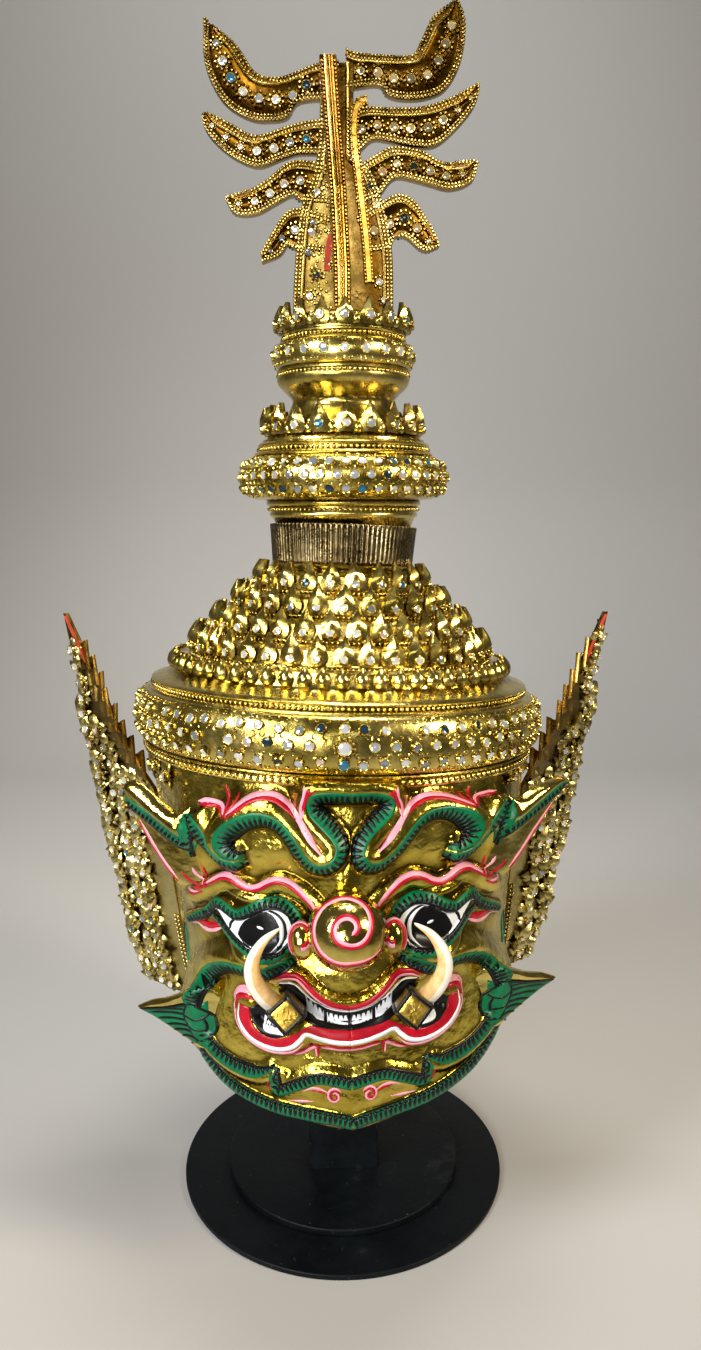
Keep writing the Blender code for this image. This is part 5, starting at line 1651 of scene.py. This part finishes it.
def dress_trunk(work):
    """Chains of beads up the rib, the strap and both sides, and mirrors among granules in the plain parts."""
    strap = even_path(STRAP_PATH, 2.1)
    for face in (-1, 1):
        look = facing(face)
        for share, spacing, size, top in ((-0.76, 2.1, 0.95, 669), (0.76, 2.1, 0.95, 669), (0.0, 3.0, 0.75,
                604)):
            z = np.arange(538, top, spacing)
            spots = np.stack([read_table(z, RIB_LINE) + share * RIB_HALF, z], -1)
            places = standing(spots, face * (read_table(z, TRUNK_RIB) - 0.3))
            work.add(SMALL_BEAD, places, look, size * MM, ORANGE_CAST)
        for offset in (-0.70, 0.70):
            places = standing(strap + path_sides(strap) * offset * STRAP_HALF, face * (FIN_HALF + 0.2))
            work.add(SMALL_BEAD, places, look, 0.9 * MM, ORANGE_CAST)
        z = np.arange(537, 650, 2.1)
        for outline, side in ((TRUNK_RIGHT, 1), (TRUNK_LEFT, -1)):
            for inset in (1.2, 3.2):
                x = (np.interp(z, *spline(outline, 8).T[::-1]) - inset) * side
                work.add(SMALL_BEAD, standing(np.stack([x, z], -1), face * (FIN_HALF - 0.45)), look,
                    0.95 * MM)
        places = standing(TRUNK_MIRRORS, face * (FIN_HALF - 0.6))
        work.mirror(places, look, 2.5 * MM, 0.15, granules=8, ring=(1.35, 0.34))
        z = dice.uniform(540, 610, TRUNK_GRANULES)
        x = -dice.uniform(7, 20, TRUNK_GRANULES) * np.interp(z, [540, 610], [1.0, 0.7])
        places = standing(np.stack([x, z], -1), face * (FIN_HALF - 1.1))
        work.add(SMALL_BEAD, places, look, dice.uniform(0.7, 1.2, TRUNK_GRANULES) * MM)


def make_finial():
    """The finial's metal in one piece, its beadwork and mirrors, and a worn patch of red ground."""
    made = make_trunk()
    work = Ornament("finial", "crown_finial", gold_worked, unposed, "gilded_wood")
    for side, feathers in ((1, RIGHT_FEATHERS), (-1, LEFT_FEATHERS)):
        for upper, lower in feathers:
            made.append(feather_body(upper, lower, side))
            dress_feather(work, upper, lower, side)
    dress_trunk(work)
    forms, tints = zip(*made)
    make_piece("finial_form", "crown_finial", joined(forms), [gold_worked], sharp=45,
        colours=np.vstack(tints))
    work.finish_up()
    patch, tints = two_faced(strip_of(resampled(RED_PATCH, 12), [-1.7, 0.0, 1.7]), FIN_HALF - 0.2, 1.0)
    make_piece("finial_worn_patch", "crown_finial", patch, [worn_red])


make_finial()

# %% [markdown]
# The ear ornaments
#
# Each is a tall flame of leather beside the head, turned half to the front. Clusters of
# flame leaves, each round a mirror, climb its face and lean outwards. Its inner edge near the
# tip is a flight of plain blades under a red strip, its lower inner part is plain, and its
# back is painted red.

# %% Ear ornaments
EAR_LEVELS = [(135, 122, 112), (150, 130, 104), (166, 136, 103), (190, 141, 105), (212, 148, 107),
    (232, 150, 110), (254, 156, 117), (270, 155, 123), (297, 161, 137), (318, 160, 144), (336, 163, 152),
    (352, 165, 159), (365, 166, 164.5)]
EAR_LENGTHEN = {1: 0.0, -1: 0.017}
EAR_JOINED_BELOW = 0.262
EAR_THICKNESS = 0.005
EAR_GAP = 0.0018
EAR_TURN = radians(40)


def ear_levels(side):
    """Height, inner edge and width of the ornament at each of its levels, as in the solid."""
    rows = []
    for z, outer, inner in EAR_LEVELS:
        height = z * MM - EAR_LENGTHEN[side] * float(1 - smooth((z * MM - 0.135) / 0.12))
        near = inner * MM
        if height < EAR_JOINED_BELOW:
            level = height - side * HEAD_HALF_WIDTHS[0] * np.sin(HEAD_ROLL)
            wall = float(egg_radius(pi / 2, level)) - side * ((height - HANG_HEIGHT) * np.sin(HEAD_ROLL)
                + CROWN_OFFSET)
            near = wall + EAR_THICKNESS / 2 * np.sin(EAR_TURN) + EAR_GAP
        rows.append((height, near, (max(outer * MM, near + 0.002) - near) / np.cos(EAR_TURN)))
    return np.array(rows)


def on_ear(side, along, across, height):
    """Places on the ornament: along its width, across its thickness and up."""
    z, near, width = ear_levels(side).T
    x = np.interp(height, z, near) + along * np.cos(EAR_TURN) - across * np.sin(EAR_TURN)
    y = along * np.sin(EAR_TURN) + across * np.cos(EAR_TURN)
    return leaned(np.stack(np.broadcast_arrays(side * x + CROWN_OFFSET, y, height), -1))


def ear_frames(side, lean_out):
    """Frames on the front face of the ornament, their up axis leaning outwards."""
    away = np.array((side * np.sin(EAR_TURN), -np.cos(EAR_TURN), 0.0))
    outer = np.array((side * np.cos(EAR_TURN), np.sin(EAR_TURN), 0.0))
    up = np.cos(lean_out)[:, None] * np.array((0, 0, 1.0)) + np.sin(lean_out)[:, None] * outer
    return np.stack([np.cross(up, away), up, np.broadcast_to(away, up.shape)], -1)


def blade_shape(side):
    """A plain blade of unit height: a flat bar with grooves, cut off at a slant that falls outwards."""
    across = np.array([-0.25, -0.22, -0.12, -0.08, 0.08, 0.12, 0.22, 0.25])
    keel = [0.0, 0.07, 0.07, 0.035, 0.035, 0.07, 0.07, 0.0]
    rings = []
    for level in (0.0, 0.5, 1.0):
        up = level * (1 - 0.45 * (across * side + 0.25))
        back = [(0.24, up[-1], -0.05), (-0.24, up[0], -0.05)]
        rings.append(np.vstack([np.column_stack([across, up, keel]), back]))
    return closed_form(np.array(rings))


BLADE_CAST = np.array((0.78, 0.60, 0.42))
CLUSTER_STEP = 0.0104
PLAIN_BELOW = 0.222
BLADES_ABOVE = 0.262
BLADE_STEP = 0.0098
TIP_ABOVE = 0.31


def ear_plate(side, name, node):
    """The plate: darkened by painted shade under the leaves, brighter where it stays plain, with a red back.
    """
    z, near, width = ear_levels(side).T
    levels = np.linspace(z[0], z[-1], 60)[:, None]
    share = np.linspace(0, 1, 9)
    along = 0.0004 + (np.interp(levels, z, width) - 0.0008) * share
    height = levels + 0 * share
    front = on_ear(side, along, -0.0008, height)
    back = on_ear(side, along, EAR_THICKNESS / 2 - 0.0004, height)
    # Painted shade under the leaves; the plain lower inner part is left lighter.
    light = np.where((share < 0.40) & (height < PLAIN_BELOW), 0.8, 0.18)
    which = np.tile([0] * len(share) + [1] * (len(share) - 1) + [0], len(levels) - 1)
    form = closed_form(np.concatenate([front, back[:, ::-1]], axis=1))
    light = np.concatenate([light, light], axis=1).ravel()
    make_piece(name + "_form", node, form, [gold_leather, red_back],
        which=np.append(which, [0, 0]), sharp=50, colours=toned(light))


def make_ear(side):
    """The plate with its clusters of leaves, its blades, its bead strip and the red strip at its tip."""
    name = "ear_right" if side > 0 else "ear_left"
    node = "ear_ornament_right" if side > 0 else "ear_ornament_left"
    ear_plate(side, name, node)
    z, near, width = ear_levels(side).T
    work = Ornament(name, node, gold_leather, unposed, "gilded_leather")
    for row, level in enumerate(np.arange(z[0] + 0.006, z[-1] - 0.014, CLUSTER_STEP)):
        room = np.interp(level, z, width)
        start = room * (0.36 if level < PLAIN_BELOW else 0.42 if level > BLADES_ABOVE else 0.12)
        end = room - (0.0040 if level < TIP_ABOVE else 0.0050 if side < 0 else 0.0062)
        count = max(int(round((end - start) / 0.0098)), 1)
        spot = start + (np.arange(count) + (0.5 if row % 2 else 0.62)) / (count + 0.12) * (end - start)
        spot[-1] = end
        lean_out = radians(8) + radians(44) * (spot / room) ** 2
        lean_out *= 1 - 0.7 * float(smooth((level - 0.30) / 0.04))
        places = on_ear(side, spot, -0.0010, level + dice.uniform(-0.0012, 0.0012, count))
        size = 0.0128 if level < TIP_ABOVE else 0.0105
        work.cluster(places, ear_frames(side, lean_out + dice.normal(0, 0.10, count)), size)
    for k, level in enumerate(np.arange(BLADES_ABOVE, z[-1] - 0.030, BLADE_STEP)):
        along = np.minimum(0.0046, np.interp([level], z, width) * 0.3)
        places = on_ear(side, along, -0.0016 - 0.0006 * (k % 2), level)
        frames = wobbled(ear_frames(side, np.array([radians(6)])), 0.04)
        work.add(blade_shape(side), places, frames, 0.0185, BLADE_CAST)
    low = np.arange(z[0] + 0.004, z[0] + 0.058, 0.0027)
    for along in (0.0014, 0.0042):
        work.add(BEAD, on_ear(side, along, -0.0012, low), ear_frames(side, 0 * low), 0.0012)
    work.finish_up()
    level = np.linspace(z[-1] - 0.030, z[-1] - 0.0015, 12)[:, None] + np.zeros(6)
    along = np.array([0.0, 0.0012, 0.0024, 0.0024, 0.0012, 0.0]) * np.linspace(1, 0.4, 12)[:, None]
    across = np.array([-0.0022, -0.0026, -0.0022, -0.0006, -0.0006, -0.0006]) + 0 * along
    strip = closed_form(on_ear(side, along, across, level))
    make_piece(name + "_red_strip", node, strip, [worn_red])


make_ear(-1)
make_ear(1)

# %% [markdown]
# Nose and tusks
#
# The ball of the nose with its wings, and the square caps that hold the tusks, are made apart
# and set into the face. The red and pink spiral of the nose is a thin closed stroke on the
# ball, laid out by two angles: how far off an axis that looks forward and a little up, and how
# far round that axis.

# %% Nose
NOSE_CENTRE = np.array((0.0, -0.1350, 0.2165))
NOSE_RADII = np.array((0.0198, 0.0205, 0.0192))
WING_CENTRE = np.array((0.0226, -0.1285, 0.2105))
WING_RADII = np.array((0.0072, 0.0098, 0.0100))
SPIRAL_LIFT = radians(25)


def ball(centre, radii, rows=28, columns=48):
    """An ellipsoid as rings round the Y axis, with small lids at its poles."""
    a = np.radians(np.linspace(2, 178, rows))[:, None]
    b = (np.arange(columns) * 2 * pi / columns)[None, :]
    return closed_form(np.stack([np.sin(a) * np.cos(b), np.cos(a) + 0 * b, np.sin(a) * np.sin(b)], -1)
        * radii + centre)


def on_ball(centre, radii, off, turn, lift, yaw=0.0):
    """A place on a ball: an angle off an axis that looks forward and up, and a turn round that axis."""
    x, y, z = np.sin(off) * np.cos(turn), -np.cos(off), np.sin(off) * np.sin(turn)
    c, s = cos(SPIRAL_LIFT), sin(SPIRAL_LIFT)
    y, z = y * c + z * s, z * c - y * s
    x, y = x * cos(yaw) - y * sin(yaw), x * sin(yaw) + y * cos(yaw)
    return centre + np.stack([x, y, z], -1) * (radii + lift)


def ball_line(centre, radii, off, turn, widths, lift, yaw=0.0, depth=0.0005):
    """A closed thin stroke on a ball along angles off its axis; its width goes outwards from the line."""
    rows = [on_ball(centre, radii, off + widths * share, turn, height, yaw) for height,
        shares in ((lift, (0.0, 0.5, 1.0)), (lift - depth, (1.0, 0.5, 0.0))) for share in shares]
    return closed_form(np.stack(rows, 1))


black_parts, pink_parts, red_parts = [], [], []
nose_parts = [ball(NOSE_CENTRE, NOSE_RADII)]
turns = np.radians(np.linspace(-62, 690, 170))
marks = np.radians([-64, 23, 85, 168, 261, 286, 367, 418, 450, 494, 540, 582, 635, 649, 691])
shares = [0.14, 0.25, 0.31, 0.34, 0.37, 0.41, 0.56, 0.74, 0.80, 0.83, 0.84, 0.83, 0.80, 0.82, 0.90]
off = np.interp(turns, marks, np.arcsin(shares))
grow = smooth((turns - turns[0]) / 0.7) * smooth((turns[-1] - turns) / 0.7)
red_parts.append(ball_line(NOSE_CENTRE, NOSE_RADII, off, turns, 0.075 * grow + 0.004, 0.00035))
pink_parts.append(ball_line(NOSE_CENTRE, NOSE_RADII, off - 0.085 * grow, turns, 0.092 * grow + 0.004,
    0.00022))
turns = np.radians(np.linspace(-50, 262, 50))
off = np.interp(turns, np.radians([-50, 60, 160, 262]), [0.80, 0.66, 0.55, 0.20])
for side in (-1, 1):
    centre = WING_CENTRE * (side, 1, 1)
    nose_parts.append(ball(centre, WING_RADII, 18, 28))
    turn_side = turns if side > 0 else pi - turns
    red_parts.append(ball_line(centre, WING_RADII, off, turn_side, 0.20, 0.00035, side * 0.1))
    pink_parts.append(ball_line(centre, WING_RADII, off + 0.18, turn_side, 0.26, 0.00022, side * 0.1))

# %% Caps of the tusks
CAP_CENTRE = np.array((0.0315, -0.1305, 0.1744))
CAP_HALF = np.array((0.0072, 0.0090, 0.0072))
CAP_TURN = radians(40)
CAP_TIP = radians(-14)
CAP_LINE = 0.13


def rounded_box(half, power=0.28, rows=22, columns=36):
    """Rings of a superellipsoid: sines and cosines raised to a small power make a box with soft edges."""
    a = np.radians(np.linspace(3, 177, rows))[:, None]
    b = (np.arange(columns) * 2 * pi / columns + 0.02)[None, :]
    sin_a, cos_a, sin_b, cos_b = (np.sign(v) * np.abs(v) ** power for v in (np.sin(a), np.cos(a), np.sin(b),
        np.cos(b)))
    return np.stack([sin_a * cos_b, cos_a + 0 * b, sin_a * sin_b], -1) * half


def cap_form(rings, side):
    """The closed form of a cap's rings, turned about the line of sight and set in its place."""
    c, s = cos(CAP_TURN), sin(CAP_TURN)
    x, y, z = rings[..., 0] * c + rings[..., 2] * s, rings[..., 1], rings[..., 2] * c - rings[..., 0] * s
    y, z = y * cos(CAP_TIP) - z * sin(CAP_TIP), y * sin(CAP_TIP) + z * cos(CAP_TIP)
    return closed_form((np.stack([x, y, z], -1) + CAP_CENTRE) * (side, 1, 1))


cap_parts = []
for side in (-1, 1):
    cap_parts.append(cap_form(rounded_box(CAP_HALF), side))
    for axis in np.array([(1, 0, 0), (0, 0, 1)]):
        half = CAP_HALF * (1.04, 1.03, 1.04) * (1 - axis) + CAP_HALF * CAP_LINE * axis
        for offset in (-0.86, 0.86):
            black_parts.append(cap_form(rounded_box(half, 0.22, 14) + axis * CAP_HALF * offset, side))

# %% Tusks
TUSK_PATH = np.array([(36, -128, 176), (43, -134, 186), (47, -137, 196), (46.4, -137, 205),
    (41, -135, 213.4), (33, -133, 218.6)])
TUSK_RADIUS = 0.0043
TAN_TURN = -0.40
TAN_EDGE = 0.36


def make_tusk(side):
    """A curved tusk: rings across a smooth path, whose radius falls as one less a power of the share."""
    path = resampled(TUSK_PATH * MM, 44)
    run = np.gradient(path, axis=0)
    across = np.cross(run, (0, 1, 0))
    other = np.cross(run, across)
    across, other = (v[:, None] / np.linalg.norm(v, axis=1)[:, None, None] for v in (across, other))
    half = TUSK_RADIUS * (1 - np.linspace(0, 1, len(path)) ** 2.2) + 0.0006
    half[-1] *= 0.45
    a = (np.arange(28) * 2 * pi / 28)[:, None]
    rings = (path[:, None] + half[:, None, None] * (np.cos(a) * across + np.sin(a) * other)) * (side, 1, 1)
    # Painted shade: the side of each tusk towards the middle of the face is tan.
    inner = np.cos(a[:, 0] + pi / 28 + TAN_TURN) > TAN_EDGE
    which = np.append(np.tile(inner, len(path) - 1), [False, False])
    name = "tusk_right" if side > 0 else "tusk_left"
    form = closed_form(pose_head(rings, whole=True))
    make_piece(name + "_ivory", name, form, [cream, shaded_tan_ivory], which, 50)


make_tusk(-1)
make_tusk(1)
for name, parts, finish, slot in (("nose", nose_parts, gold_smooth, "gilded_paper"), ("tusk_caps",
        cap_parts, gold_brown, "gilded_paper"), ("cap_lines", black_parts, black, "enamel_paint"),
        ("nose_red", red_parts, red, "enamel_paint"), ("nose_pink", pink_parts, pink, "enamel_paint")):
    make_piece(name, "mask_head", posed(joined(parts)), [finish], sharp=60 if slot == "gilded_paper"
        else 0)

# %% Finish
print("triangles in all:", sum(made_pieces.values()))
